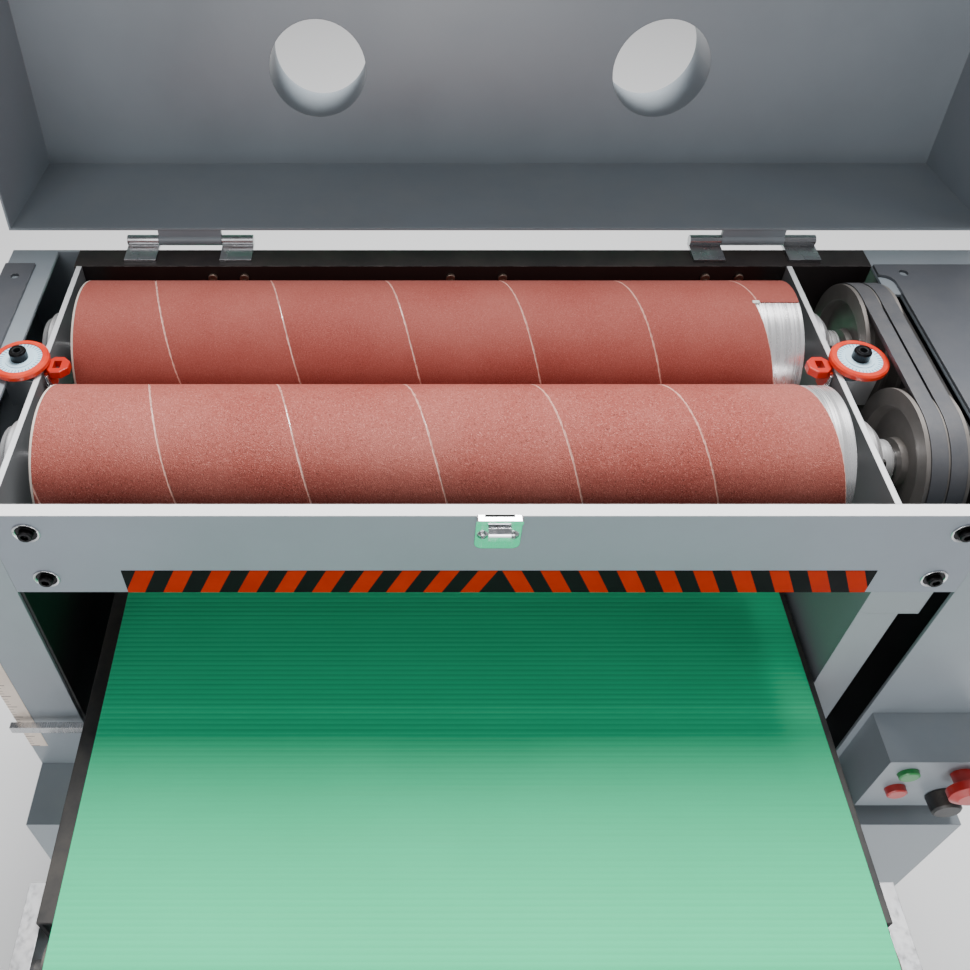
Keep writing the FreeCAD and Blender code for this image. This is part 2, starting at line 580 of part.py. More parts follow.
def table():
    low = "belt_top - 96"
    under = "roller_height - roller_radius - belt_sheet - 8"
    plate = box(("table_left", "table_right"), ("-bed_half", "bed_half"), ("bed_top - 4", "bed_top"))
    sides = [box((x, f"{x} + 4"), ("-bed_half", "bed_half"), (low, "bed_top - 2"))
             for x in ("table_left", "table_right - 4")]
    ties = [box(("table_left + 1", "table_right - 1"), (f"{y} - 22", f"{y} + 22"), (low, under))
            for y in (-180, 0, 180)]
    feet = [rod("Z", 24, (f"{low} - 14", f"{low} + 2"), x, 0) for x in ("screw_left", "screw_right")]
    node("table_bed", fuse(plate, *sides, *ties, *feet))
    screws = [rod("Z", "screw_radius", ("cabinet_top - 170", f"{low} - 14"), x, 0)
              for x in ("screw_left", "screw_right")]
    posts = [rod("Z", "post_radius", ("cabinet_top - 190", low), *spot) for spot in POST_SPOTS]
    node("lift_columns", *screws, *posts)
    z = "roller_height"

    def loop(grow, x):
        """The stadium round both rollers, grown by a given thickness."""
        reach = f"roller_radius + {grow}"
        middle = box(x, ("-roller_reach", "roller_reach"), (f"{z} - ({reach})", f"{z} + {reach}"))
        return fuse(middle, *[rod("X", reach, x, f"{sign} * roller_reach", z) for sign in (-1, 1)])

    node("conveyor_belt", cut(loop("belt_sheet", ("belt_left", "belt_right")),
                              loop(0, ("belt_left - 1", "belt_right + 1"))))
    for label, sign, tail in (("front", -1, 12), ("drive", 1, 20)):
        y = f"{sign} * roller_reach"
        axle = rod("X", 10, (f"table_left - {tail}", "table_right + 12"), y, z)
        roller = rod("X", "roller_radius - clearance", ("belt_left - 3", "belt_right + 2"), y, z)
        node(f"{label}_roller", fuse(roller, axle))
    blocks = []
    for x0, x1 in (("table_left - 16", "table_left"), ("table_right", "table_right + 16")):
        for low_y, high_y, y in (("-roller_reach - 22", "-roller_reach + 62", "-roller_reach"),
                                 ("roller_reach - 62", "roller_reach + 22", "roller_reach")):
            arm = box((x0, x1), (low_y, high_y), (f"{z} - 18", f"{z} + 18"))
            blocks.append(bored(arm, "X", "10 + shaft_fit", (f"{x0} - 1", f"{x1} + 1"), (y, z)))
    node("roller_blocks", *blocks)
    gear = box(("table_left - 76", "table_left - 16"), ("roller_reach - 32", "roller_reach + 32"),
               (f"{z} - 40", f"{z} + 40"))
    gear = bored(gear, "X", "10 + shaft_fit", ("table_left - 40", "table_left"), ("roller_reach", z))
    can = rod("Z", 30, (f"{z} - 170", f"{z} - 40"), "table_left - 46", "roller_reach")
    node("feed_gearmotor", fuse(gear, can))
    node("depth_pointer", box(("table_left - 92", "table_left"), (-178, -172), (652, 662)))


def lift():
    bore = "screw_radius + shaft_fit"
    for label in ("left", "right"):
        node(f"{label}_lift_nut", turned("Z", [(-32, bore), (-32, 24), (-20, 24), (-20, 38), (-15, 38),
                                               (-15, 24.5), ("clearance", 24.5), ("clearance", 32),
                                               (8, 32), (10, 30), (20, 22), (20, bore)],
                                         f"screw_{label}", 0, "cabinet_top"))

    def track(radius, height):
        ends = [rod("Z", radius, height, x, 0) for x in ("screw_left", "screw_right")]
        return fuse(box(("screw_left", "screw_right"), (-radius, radius), height), *ends)

    node("lift_chain", cut(track(44, ("cabinet_top - 21", "cabinet_top - 14")),
                           track(38.4, ("cabinet_top - 22", "cabinet_top - 13"))))
    wide = ("screw_left - 42", "screw_left + 42")
    body = box(wide, (-52, 42), ("cabinet_top - 96", "cabinet_top - 33"))
    hanger = box(wide, (-52, -48), ("cabinet_top - 97", "cabinet_top - sheet"))
    well = rod("Z", "screw_radius + 3", ("cabinet_top - 100", "cabinet_top - 30"), "screw_left", 0)
    snout = rod("Y", "spindle_radius + shaft_fit", (-53, -20), "screw_left", "wheel_height")
    fit = "spindle_radius + shaft_fit"
    bearing = turned("Y", [(-6, fit), (-6, 24), (0, 24), (0, 15.8), (14, 15.8), (14, fit)],
                     "screw_left", "-cabinet_half", "wheel_height")
    node("lift_gearbox", cut(fuse(body, hanger), well, snout), bearing)


def handwheel():
    plane = "-cabinet_half - wheel_stand"
    spindle = rod("Y", "spindle_radius", (f"{plane} - 4", -24), "screw_left", "wheel_height")
    bore = "spindle_radius + 0.05"
    hub = turned("Y", [(0, bore), (0, 18), (26, 22), (26, bore)], "screw_left", plane, "wheel_height")
    rim = doc.addObject("Part::Torus", "rim")
    bind(rim, Radius1="wheel_radius")
    rim.Radius2 = 9
    rim.Placement.Rotation = TURN["Y"]
    place(rim, "screw_left", plane, "wheel_height")
    spokes = []
    for turn in (90, 210, 330):
        spoke = doc.addObject("Part::Cylinder", "spoke")
        spoke.Radius = 6
        bind(spoke, Height="wheel_radius - 14")
        spoke.Placement.Rotation = FreeCAD.Rotation(FreeCAD.Vector(0, 1, 0), turn)
        spokes.append(place(spoke, f"screw_left + 14 * sin({turn} * 1 deg)", f"{plane} + 10",
                            f"wheel_height + 14 * cos({turn} * 1 deg)"))
    spot = ("screw_left + wheel_radius", "wheel_height")
    boss = rod("Y", 10, (f"{plane} - 9", f"{plane} + 10"), *spot)
    pin = rod("Y", 4, (f"{plane} - 68", plane), *spot)
    cap = rod("Y", 7, (f"{plane} - 72", f"{plane} - 67.5"), *spot)
    node("handwheel", spindle, fuse(hub, rim, *spokes, boss, pin, cap))
    grip = "4 + shaft_fit"
    node("handwheel_grip", turned("Y", [(-67.2, grip), (-67.2, 12), (-52, 14.5), (-22, 13), (-9.3, 9),
                                        (-9.3, grip)], spot[0], plane, spot[1]))


# ---------------------------------------------------------------- pressure rollers

def pressure(label, sign):
    y = f"{sign} * press_reach"
    z = "press_height"
    node(f"{label}_press_roller", fuse(rod("X", "press_radius", ("drum_left + 2", "drum_right - 2"), y, z),
                                       rod("X", 5, ("drum_left - 11", "drum_right + 11"), y, z)))
    blocks = []
    for x0, x1 in (("left_plate + 0.3", "drum_left - 1"), ("drum_right + 1", "right_plate - 0.3")):
        block = box((x0, x1), (f"{y} - 10", f"{y} + 10"), (f"{z} - 7", f"{z} + 24"))
        blocks.append(bored(block, "X", "5 + shaft_fit", (f"{x0} - 1", f"{x1} + 1"), (y, z)))
    bar = box(("left_plate + 0.3", "right_plate - 0.3"), (f"{y} - 9", f"{y} + 9"), (f"{z} + 18", f"{z} + 23"))
    node(f"{label}_press_carrier", fuse(bar, *blocks))


# ---------------------------------------------------------------- controls

def controls():
    left, right = "box_left + 25", "box_right - 25"
    spots = {"emergency_stop": (right, "box_high - 23"), "start_button": (left, "box_high - 23"),
             "stop_button": (left, "box_high - 56"), "speed_knob": (right, "box_low + 26")}
    bores = {"emergency_stop": 10, "start_button": 10, "stop_button": 10, "speed_knob": 6}
    pockets = [rod("Y", bores[label], ("box_front - 1", "box_front + button_pocket"), *spots[label])
               for label in spots]
    body = box(("box_left", "box_right"), ("box_front", "-head_front"), ("box_low", "box_high"))
    node("control_box", cut(body, *pockets))
    outlines = {
        "emergency_stop": [(-26, 0), (-26, 12), (-22, 19), (-14, 19), (-12, 9.7), (11, 9.7), (11, 0)],
        "start_button": [(-5, 0), (-5, 8), (-4, 9.7), (11, 9.7), (11, 0)],
        "stop_button": [(-7, 0), (-7, 8), (-6, 9.7), (11, 9.7), (11, 0)],
        "speed_knob": [(-18, 0), (-18, 12), (-16, 14), (-1, 15), (-1, 5.7), (11, 5.7), (11, 0)],
    }
    for label, points in outlines.items():
        x, height = spots[label]
        node(label, turned("Y", points, x, "box_front", height))


# ---------------------------------------------------------------- dust hood

def tip_back(shape):
    """Turn a piece drawn in the closed place back about the hood's hinge line."""
    tipped = doc.addObject("Part::Compound", "tipped")
    tipped.Links = [shape]
    tipped.Placement.Rotation = FreeCAD.Rotation(FreeCAD.Vector(-1, 0, 0), 90)
    turn = "hood_open * 1 deg"
    return bind(tipped, Placement__Rotation__Angle=turn,
                Placement__Base__y=f"hood_pivot_y * (1 - cos({turn})) - hood_pivot_z * sin({turn})",
                Placement__Base__z=f"hood_pivot_z * (1 - cos({turn})) + hood_pivot_y * sin({turn})")


def hood():
    def outline(inset):
        """The cover's section: an upright front, a slope up to a flat top, and an upright back."""
        front, back = f"-head_front + {inset}", f"head_rear - 5 - {inset}"
        low, high = f"hood_base - {inset} * 0.5", f"hood_top - {inset}"
        return [(front, low), (front, "hood_base + 55"), (f"-60 + {inset} * 0.5", high), (back, high),
                (back, low)]

    shell = prism("YZ", outline(0), ("left_side", "right_side"))
    inside = prism("YZ", outline(2), ("left_side + 2", "right_side - 2"))
    ports = [(-150, 60), (190, 60)]
    bore = "port_radius - 2.2"
    mouths = [rod("Z", bore, ("hood_top - 10", "hood_top + 1"), *spot) for spot in ports]
    necks = [bored(rod("Z", "port_radius", ("hood_top", "hood_top + 60"), *spot), "Z", bore,
                   ("hood_top - 1", "hood_top + 61"), spot) for spot in ports]
    node("dust_ports", tip_back(group(*necks)))
    bar = ("hood_base + 20", "hood_base + 30")
    out = "-head_front - 36"
    pull = [box((x, x + 10), (out, "-head_front"), bar) for x in (-70, 60)]
    pull.append(box((-70, 70), (out, f"{out} + 10"), bar))
    knuckles = []
    leaves = []
    for x in (-300, 240):
        knuckles.append(rod("X", 5, (x, x + 60), "hood_pivot_y", "hood_pivot_z"))
        knuckles.append(box((x, x + 60), ("head_rear - 6", "hood_pivot_y"),
                            ("hood_pivot_z - 2", "hood_pivot_z + 3")))
        for start in (f"{x} - 30 - clearance", f"{x} + 60 + clearance"):
            stretch = (start, f"{start} + 30")
            leaves.append(fuse(rod("X", 5, stretch, "hood_pivot_y", "hood_pivot_z"),
                               box(stretch, ("head_rear - 20", "hood_pivot_y"), ("head_top", "head_top + 3")),
                               box(stretch, ("hood_pivot_y - 3", "hood_pivot_y + 3"),
                                   ("head_top", "hood_pivot_z"))))
    node("hood_shell", tip_back(fuse(cut(shell, inside, *mouths), *knuckles, *pull)))
    node("hood_hinges", *leaves)


cabinet()
door()
uprights()
node("side_plates", side_plate("left_plate - plate_sheet", "left_plate"),
     side_plate("right_plate", "right_plate + plate_sheet"))
front_panel()
latch_keeper()
rear_beam()
inner_walls()
drive_guard()
housings()
drum("front", -1)
drum("rear", 1)
drive()
dials()
table()
lift()
handwheel()
pressure("infeed", -1)
pressure("outfeed", 1)
controls()
hood()

doc.recompute()
for item in doc.Objects:
    if "Invalid" in item.State or "Error" in item.State:
        raise RuntimeError(f"{item.Label} did not build: {item.State}")
os.makedirs("parts", exist_ok=True)
for item in NODES:
    if item.Shape.isNull() or not item.Shape.isValid():
        raise RuntimeError(f"{item.Label} has no sound shape")
    item.Shape.exportStep(f"parts/{item.Label}.step")
print(len(NODES), "sub-parts")
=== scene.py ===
"""Looks of a double-drum sander with its cover open. Metres, in the machine's own frame."""
import math

import bmesh
import bpy
import numpy as np
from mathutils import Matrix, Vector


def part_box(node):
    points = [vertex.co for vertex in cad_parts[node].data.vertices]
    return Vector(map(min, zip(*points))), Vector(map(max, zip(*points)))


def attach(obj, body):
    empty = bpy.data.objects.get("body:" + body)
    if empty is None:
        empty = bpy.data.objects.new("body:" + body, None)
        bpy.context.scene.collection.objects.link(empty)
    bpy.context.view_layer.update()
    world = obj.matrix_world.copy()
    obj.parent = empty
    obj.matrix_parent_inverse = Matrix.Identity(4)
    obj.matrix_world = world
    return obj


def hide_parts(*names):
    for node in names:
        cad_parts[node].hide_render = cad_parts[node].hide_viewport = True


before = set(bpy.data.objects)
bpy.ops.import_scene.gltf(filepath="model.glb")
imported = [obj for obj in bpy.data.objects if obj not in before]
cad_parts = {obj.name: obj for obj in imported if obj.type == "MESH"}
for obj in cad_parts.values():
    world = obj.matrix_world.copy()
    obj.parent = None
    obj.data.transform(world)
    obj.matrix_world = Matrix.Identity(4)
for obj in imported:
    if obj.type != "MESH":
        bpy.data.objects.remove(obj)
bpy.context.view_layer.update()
MM = 0.001


# ------------------------------------------------------------------ shader helpers

def node(tree, kind, inputs=None, **props):
    """Add a shader node; an input given as a socket is linked, anything else is its value."""
    made = tree.nodes.new(kind)
    for key, value in props.items():
        setattr(made, key, value)
    for key, value in (inputs or {}).items():
        if isinstance(value, bpy.types.NodeSocket):
            tree.links.new(value, made.inputs[key])
        else:
            made.inputs[key].default_value = value
    return made


def ramp(tree, value, low, high, to_low=0.0, to_high=1.0):
    """Map a value from one span to another, clamped."""
    made = node(tree, "ShaderNodeMapRange", {"Value": value, "From Min": low, "From Max": high,
                                             "To Min": to_low, "To Max": to_high})
    return made.outputs["Result"]


def maths(tree, operation, first, second=0.5):
    return node(tree, "ShaderNodeMath", {0: first, 1: second}, operation=operation).outputs[0]


def blend_colours(tree, amount, first, second, kind="MIX"):
    """Mix two colours, each a tuple or a socket, by an amount."""
    mix = node(tree, "ShaderNodeMix", data_type="RGBA", blend_type=kind)
    for index, value in ((0, amount), (6, first), (7, second)):
        if isinstance(value, bpy.types.NodeSocket):
            tree.links.new(value, mix.inputs[index])
        elif index == 0:
            mix.inputs[0].default_value = value
        else:
            mix.inputs[index].default_value = (*value[:3], 1.0)
    return mix.outputs[2]


def group_tree(name, inputs, outputs):
    """An empty node group with named sockets: (name, socket type, default)."""
    tree = bpy.data.node_groups.new(name, "ShaderNodeTree")
    for label, kind, default in inputs:
        socket = tree.interface.new_socket(label, in_out="INPUT", socket_type=kind)
        if default is not None:
            socket.default_value = default
    for label, kind in outputs:
        tree.interface.new_socket(label, in_out="OUTPUT", socket_type=kind)
    return tree, tree.nodes.new("NodeGroupInput"), tree.nodes.new("NodeGroupOutput")


FLOAT = "NodeSocketFloat"


def worn_edge_group():
    """Where the rounded normal leaves the flat one, broken up by noise: rubbed corners."""
    tree, source, sink = group_tree("worn_edge", [("Radius", FLOAT, 0.0015), ("Break", FLOAT, 60.0)],
                                    [("Mask", FLOAT), ("Normal", "NodeSocketVector")])
    bevel = node(tree, "ShaderNodeBevel", {"Radius": source.outputs["Radius"]}, samples=4)
    flat = node(tree, "ShaderNodeNewGeometry")
    dot = node(tree, "ShaderNodeVectorMath", {0: bevel.outputs["Normal"], 1: flat.outputs["Normal"]},
               operation="DOT_PRODUCT")
    edge = ramp(tree, dot.outputs["Value"], 0.97, 0.72)
    place = node(tree, "ShaderNodeTexCoord")
    noise = node(tree, "ShaderNodeTexNoise", {"Vector": place.outputs["Object"], "Detail": 4.0,
                                              "Scale": source.outputs["Break"]})
    broken = maths(tree, "MULTIPLY", edge, ramp(tree, noise.outputs[0], 0.42, 0.62))
    tree.links.new(broken, sink.inputs["Mask"])
    tree.links.new(bevel.outputs["Normal"], sink.inputs["Normal"])
    return tree


def mottle_group():
    """Two sizes of cloudy noise, a broad one and one forty times finer: uneven colour, sheen and skin."""
    tree, source, sink = group_tree("mottle", [("Scale", FLOAT, 8.0)], [("Value", FLOAT), ("Fine", FLOAT)])
    place = node(tree, "ShaderNodeTexCoord").outputs["Object"]
    broad_scale = source.outputs["Scale"]
    fine_scale = maths(tree, "MULTIPLY", broad_scale, 40.0)
    broad = node(tree, "ShaderNodeTexNoise", {"Vector": place, "Scale": broad_scale, "Detail": 5.0,
                                              "Roughness": 0.6})
    fine = node(tree, "ShaderNodeTexNoise", {"Vector": place, "Scale": fine_scale, "Detail": 2.0})
    tree.links.new(broad.outputs[0], sink.inputs["Value"])
    tree.links.new(fine.outputs[0], sink.inputs["Fine"])
    return tree


def settled_dust_group():
    """Faces that look up gather wood dust, in patches."""
    tree, source, sink = group_tree("settled_dust", [("Amount", FLOAT, 0.3), ("Scale", FLOAT, 25.0)],
                                    [("Mask", FLOAT)])
    normal = node(tree, "ShaderNodeNewGeometry").outputs["Normal"]
    up = node(tree, "ShaderNodeSeparateXYZ", {0: normal}).outputs["Z"]
    place = node(tree, "ShaderNodeTexCoord").outputs["Object"]
    noise = node(tree, "ShaderNodeTexNoise", {"Vector": place, "Scale": source.outputs["Scale"],
                                              "Detail": 6.0, "Roughness": 0.7})
    patches = ramp(tree, noise.outputs[0], 0.4, 0.68)
    mask = maths(tree, "MULTIPLY", maths(tree, "MULTIPLY", ramp(tree, up, 0.35, 1.0), patches),
                 source.outputs["Amount"])
    tree.links.new(mask, sink.inputs["Mask"])
    return tree


def brushing_group():
    """Noise drawn out along one axis: the marks of a lathe or a belt."""
    tree, source, sink = group_tree("brushing", [("Stretch", "NodeSocketVector", (1.0, 1.0, 1.0))],
                                    [("Value", FLOAT)])
    place = node(tree, "ShaderNodeTexCoord").outputs["Object"]
    drawn = node(tree, "ShaderNodeVectorMath", {0: place, 1: source.outputs["Stretch"]}, operation="MULTIPLY")
    noise = node(tree, "ShaderNodeTexNoise", {"Vector": drawn.outputs[0], "Scale": 1.0, "Detail": 3.0})
    tree.links.new(noise.outputs[0], sink.inputs["Value"])
    return tree


WORN_EDGE = worn_edge_group()
MOTTLE = mottle_group()
SETTLED_DUST = settled_dust_group()
BRUSHING = brushing_group()
DUST_COLOUR = (0.62, 0.52, 0.40)


def use(tree, group, **inputs):
    made = tree.nodes.new("ShaderNodeGroup")
    made.node_tree = group
    for key, value in inputs.items():
        made.inputs[key].default_value = value
    return made


def blank(name):
    """A material with only its surface shader and output."""
    material = bpy.data.materials.new(name)
    material.use_nodes = True
    return material, material.node_tree, material.node_tree.nodes["Principled BSDF"]


def finish_shader(tree, shader, colour, rough, height=None, strength=0.1, distance=0.0003, normal=None):
    """Link colour, roughness and bump to the surface shader."""
    tree.links.new(colour, shader.inputs["Base Color"])
    if isinstance(rough, bpy.types.NodeSocket):
        tree.links.new(rough, shader.inputs["Roughness"])
    else:
        shader.inputs["Roughness"].default_value = rough
    if height is not None:
        bump = node(tree, "ShaderNodeBump", {"Height": height, "Strength": strength, "Distance": distance})
        if normal is not None:
            tree.links.new(normal, bump.inputs["Normal"])
        tree.links.new(bump.outputs[0], shader.inputs["Normal"])
    elif normal is not None:
        tree.links.new(normal, shader.inputs["Normal"])


def paint_light_by_facing(tree, base, axis, sign, other):
    """Painted light: swap a colour for another on the faces that look along an axis, by a ramp of the
    normal's part on it; the other colour is a painted highlight or painted shade.
    """
    normal = node(tree, "ShaderNodeNewGeometry").outputs["Normal"]
    part = node(tree, "ShaderNodeSeparateXYZ", {0: normal}).outputs[axis]
    return blend_colours(tree, ramp(tree, maths(tree, "MULTIPLY", part, sign), 0.4, 0.6), base, other)


def enamel(name, colour, under=(0.35, 0.36, 0.37), rough=0.38, dust=0.25, wear=0.8, painted_light_faces=()):
    """Sprayed enamel: orange-peel bump, cloudy colour, rubbed edges, dust on top. The painted_light_faces
    argument lists painted light as (axis, sign, colour) for faces that look that way: a pale painted
    highlight or a near-black painted shade."""
    material, tree, shader = blank(name)
    cloud = use(tree, MOTTLE, Scale=6.0)
    edge = use(tree, WORN_EDGE, Radius=0.0012, Break=90.0)
    dusty = use(tree, SETTLED_DUST, Amount=dust, Scale=22.0)
    deep = tuple(channel * 0.86 for channel in colour)
    coat = blend_colours(tree, ramp(tree, cloud.outputs["Value"], 0.3, 0.7), deep, colour)
    # Painted light: faces that look along a listed axis take another colour, pale for a painted highlight,
    # near black for painted shade.
    for axis, sign, other in painted_light_faces:
        coat = paint_light_by_facing(tree, coat, axis, sign, other)
    rubbed = blend_colours(tree, maths(tree, "MULTIPLY", edge.outputs["Mask"], wear), coat, under)
    top = blend_colours(tree, dusty.outputs["Mask"], rubbed, DUST_COLOUR)
    sheen = ramp(tree, cloud.outputs["Value"], 0.25, 0.75, rough - 0.07, rough + 0.1)
    dulled = maths(tree, "ADD", sheen, maths(tree, "MULTIPLY", dusty.outputs["Mask"], 0.4))
    finish_shader(tree, shader, top, dulled, cloud.outputs["Fine"], 0.12, 0.0002, edge.outputs["Normal"])
    shader.inputs["Specular IOR Level"].default_value = 0.5
    return material


def bare_metal(name, colour, rough=0.3, stretch=(4, 900, 900), dust=0.15, metallic=1.0, contrast=0.25,
               depth=0.25):
    """Bare metal with drawn-out tool marks, cloudy tarnish and a little dust."""
    material, tree, shader = blank(name)
    cloud = use(tree, MOTTLE, Scale=12.0)
    marks = use(tree, BRUSHING, Stretch=stretch)
    dusty = use(tree, SETTLED_DUST, Amount=dust, Scale=40.0)
    edge = use(tree, WORN_EDGE, Radius=0.0006, Break=120.0)
    dull = tuple(channel * (1 - contrast) for channel in colour)
    worn = blend_colours(tree, ramp(tree, cloud.outputs["Value"], 0.3, 0.72), dull, colour)
    bright = blend_colours(tree, edge.outputs["Mask"], worn, tuple(min(1.0, c * 1.35 + 0.02) for c in colour))
    top = blend_colours(tree, dusty.outputs["Mask"], bright, DUST_COLOUR)
    shader.inputs["Metallic"].default_value = metallic
    rough_value = maths(tree, "ADD", ramp(tree, marks.outputs["Value"], 0.3, 0.7, rough - 0.08, rough + 0.12),
                        maths(tree, "MULTIPLY", dusty.outputs["Mask"], 0.4))
    finish_shader(tree, shader, top, rough_value, marks.outputs["Value"], depth, 0.0002,
                  edge.outputs["Normal"])
    return material


def moulded(name, colour, rough=0.5, dust=0.25, grain=1200.0, strength=0.15, coat=0.0):
    """Moulded plastic or rubber: fine skin, scuffed edges, dust on top."""
    material, tree, shader = blank(name)
    cloud = use(tree, MOTTLE, Scale=20.0)
    edge = use(tree, WORN_EDGE, Radius=0.0008, Break=150.0)
    dusty = use(tree, SETTLED_DUST, Amount=dust, Scale=45.0)
    place = node(tree, "ShaderNodeTexCoord").outputs["Object"]
    skin = node(tree, "ShaderNodeTexNoise", {"Vector": place, "Scale": grain, "Detail": 2.0}).outputs[0]
    deep = tuple(c * 0.8 for c in colour)
    body = blend_colours(tree, ramp(tree, cloud.outputs["Value"], 0.3, 0.7), deep, colour)
    scuffed = blend_colours(tree, maths(tree, "MULTIPLY", edge.outputs["Mask"], 0.5), body,
                            tuple(min(1.0, c * 1.5 + 0.05) for c in colour))
    top = blend_colours(tree, dusty.outputs["Mask"], scuffed, DUST_COLOUR)
    shader.inputs["Coat Weight"].default_value = coat
    sheen = ramp(tree, cloud.outputs["Value"], 0.25, 0.75, rough - 0.08, rough + 0.12)
    finish_shader(tree, shader, top, sheen, skin, strength, 0.0002, edge.outputs["Normal"])
    return material


def abrasive(name, grit_size, colour, dark, light, bump):
    """Abrasive cloth: crushed red-brown grains with soft specks, cloudy wear, a pale edge on each strip."""
    material, tree, shader = blank(name)
    place = node(tree, "ShaderNodeTexCoord").outputs["Object"]
    grains = node(tree, "ShaderNodeTexVoronoi", {"Vector": place, "Scale": grit_size}, feature="F1")
    clumps = node(tree, "ShaderNodeTexNoise", {"Vector": place, "Scale": grit_size * 0.3, "Detail": 4.0,
                                               "Roughness": 0.7}).outputs[0]
    cloud = use(tree, MOTTLE, Scale=7.0)
    speck = node(tree, "ShaderNodeSeparateColor", {0: grains.outputs["Color"]}).outputs[0]
    pitted = maths(tree, "MULTIPLY", ramp(tree, speck, 0.0, 0.45, 1.0, 0.0), ramp(tree, clumps, 0.42, 0.62))
    body = blend_colours(tree, pitted, colour, dark)
    glint = blend_colours(tree, ramp(tree, speck, 0.8, 1.0, 0.0, 0.55), body, light)
    worn = blend_colours(tree, ramp(tree, cloud.outputs["Value"], 0.4, 0.75, 0.0, 0.28), glint, light)
    strip = node(tree, "ShaderNodeUVMap", uv_map="strip").outputs[0]
    across = node(tree, "ShaderNodeSeparateXYZ", {0: strip})
    frayed = node(tree, "ShaderNodeTexNoise", {"Vector": place, "Scale": 260.0, "Detail": 3.0}).outputs[0]
    rim = maths(tree, "ADD", maths(tree, "ABSOLUTE", maths(tree, "SUBTRACT", across.outputs["Y"], 0.5)),
                ramp(tree, frayed, 0.3, 0.7, -0.0028, 0.0028))
    edged = blend_colours(tree, ramp(tree, rim, 0.4935, 0.4965), worn, (0.80, 0.44, 0.36))
    shader.inputs["Sheen Weight"].default_value = 0.12
    shader.inputs["Sheen Roughness"].default_value = 0.32
    shader.inputs["Sheen Tint"].default_value = (1.0, 0.72, 0.68, 1.0)
    shader.inputs["Specular IOR Level"].default_value = 0.35
    height = maths(tree, "ADD", grains.outputs["Distance"], clumps)
    finish_shader(tree, shader, edged, ramp(tree, clumps, 0.3, 0.7, 0.5, 0.72), height, bump, 0.0004)
    return material


def hazard(name, middle, foot, pitch, lean):
    """Diagonal bands: a saw-tooth of x plus or minus the height, mirrored at the middle."""
    material, tree, shader = blank(name)
    place = node(tree, "ShaderNodeSeparateXYZ", {0: node(tree, "ShaderNodeTexCoord").outputs["Object"]})
    away = maths(tree, "ABSOLUTE", maths(tree, "SUBTRACT", place.outputs["X"], middle))
    rise = maths(tree, "MULTIPLY", maths(tree, "SUBTRACT", place.outputs["Z"], foot), lean)
    phase = maths(tree, "FRACT", maths(tree, "DIVIDE", maths(tree, "ADD", away, rise), pitch))
    band = ramp(tree, phase, 0.49, 0.505)
    cloud = use(tree, MOTTLE, Scale=30.0)
    scratch = use(tree, BRUSHING, Stretch=(60.0, 900.0, 1500.0))
    orange = blend_colours(tree, ramp(tree, cloud.outputs["Value"], 0.35, 0.7), (0.42, 0.014, 0.0),
                           (0.52, 0.024, 0.001))
    bands = blend_colours(tree, band, (0.006, 0.006, 0.007), orange)
    worn = blend_colours(tree, ramp(tree, scratch.outputs["Value"], 0.7, 0.78, 0.0, 0.06), bands,
                         (0.4, 0.34, 0.3))
    shader.inputs["Specular IOR Level"].default_value = 0.08
    finish_shader(tree, shader, worn, ramp(tree, cloud.outputs["Value"], 0.3, 0.7, 0.5, 0.65),
                  scratch.outputs["Value"], 0.08, 0.0001)
    return material


def conveyor_rubber(name, deep, bright):
    """Ribbed green rubber: streaks across the belt, darker bands where boards have run, a few pale scuffs."""
    material, tree, shader = blank(name)
    cloud = use(tree, MOTTLE, Scale=5.0)
    streaks = use(tree, BRUSHING, Stretch=(7.0, 420.0, 90.0))
    scuffs = use(tree, BRUSHING, Stretch=(18.0, 900.0, 200.0))
    tone = maths(tree, "ADD", ramp(tree, cloud.outputs["Value"], 0.3, 0.7, 0.0, 0.6),
                 ramp(tree, streaks.outputs["Value"], 0.3, 0.7, 0.0, 0.4))
    body = blend_colours(tree, tone, deep, bright)
    worn = blend_colours(tree, ramp(tree, scuffs.outputs["Value"], 0.66, 0.76, 0.0, 0.2), body,
                         (0.14, 0.56, 0.32))
    shader.inputs["Specular IOR Level"].default_value = 0.18
    finish_shader(tree, shader, worn, ramp(tree, streaks.outputs["Value"], 0.3, 0.7, 0.6, 0.75),
                  streaks.outputs["Value"], 0.08, 0.0002)
    return material


def scale_strip(name, side, foot):
    """Cream strip with a short tick every 5 mm and a longer one every 20 mm."""
    material, tree, shader = blank(name)
    place = node(tree, "ShaderNodeSeparateXYZ", {0: node(tree, "ShaderNodeTexCoord").outputs["Object"]})
    along = maths(tree, "SUBTRACT", place.outputs["Z"], foot)
    across = maths(tree, "SUBTRACT", place.outputs["X"], side)
    small = maths(tree, "LESS_THAN", maths(tree, "FRACT", maths(tree, "DIVIDE", along, 0.005)), 0.12)
    large = maths(tree, "LESS_THAN", maths(tree, "FRACT", maths(tree, "DIVIDE", along, 0.02)), 0.05)
    short = maths(tree, "MULTIPLY", small, maths(tree, "LESS_THAN", across, 0.0045))
    long = maths(tree, "MULTIPLY", large, maths(tree, "LESS_THAN", across, 0.009))
    cloud = use(tree, MOTTLE, Scale=40.0)
    cream = blend_colours(tree, cloud.outputs["Value"], (0.70, 0.58, 0.48), (0.86, 0.76, 0.66))
    marked = blend_colours(tree, maths(tree, "MAXIMUM", short, long), cream, (0.12, 0.06, 0.05))
    finish_shader(tree, shader, marked, 0.35, cloud.outputs["Fine"], 0.05, 0.0001)
    return material


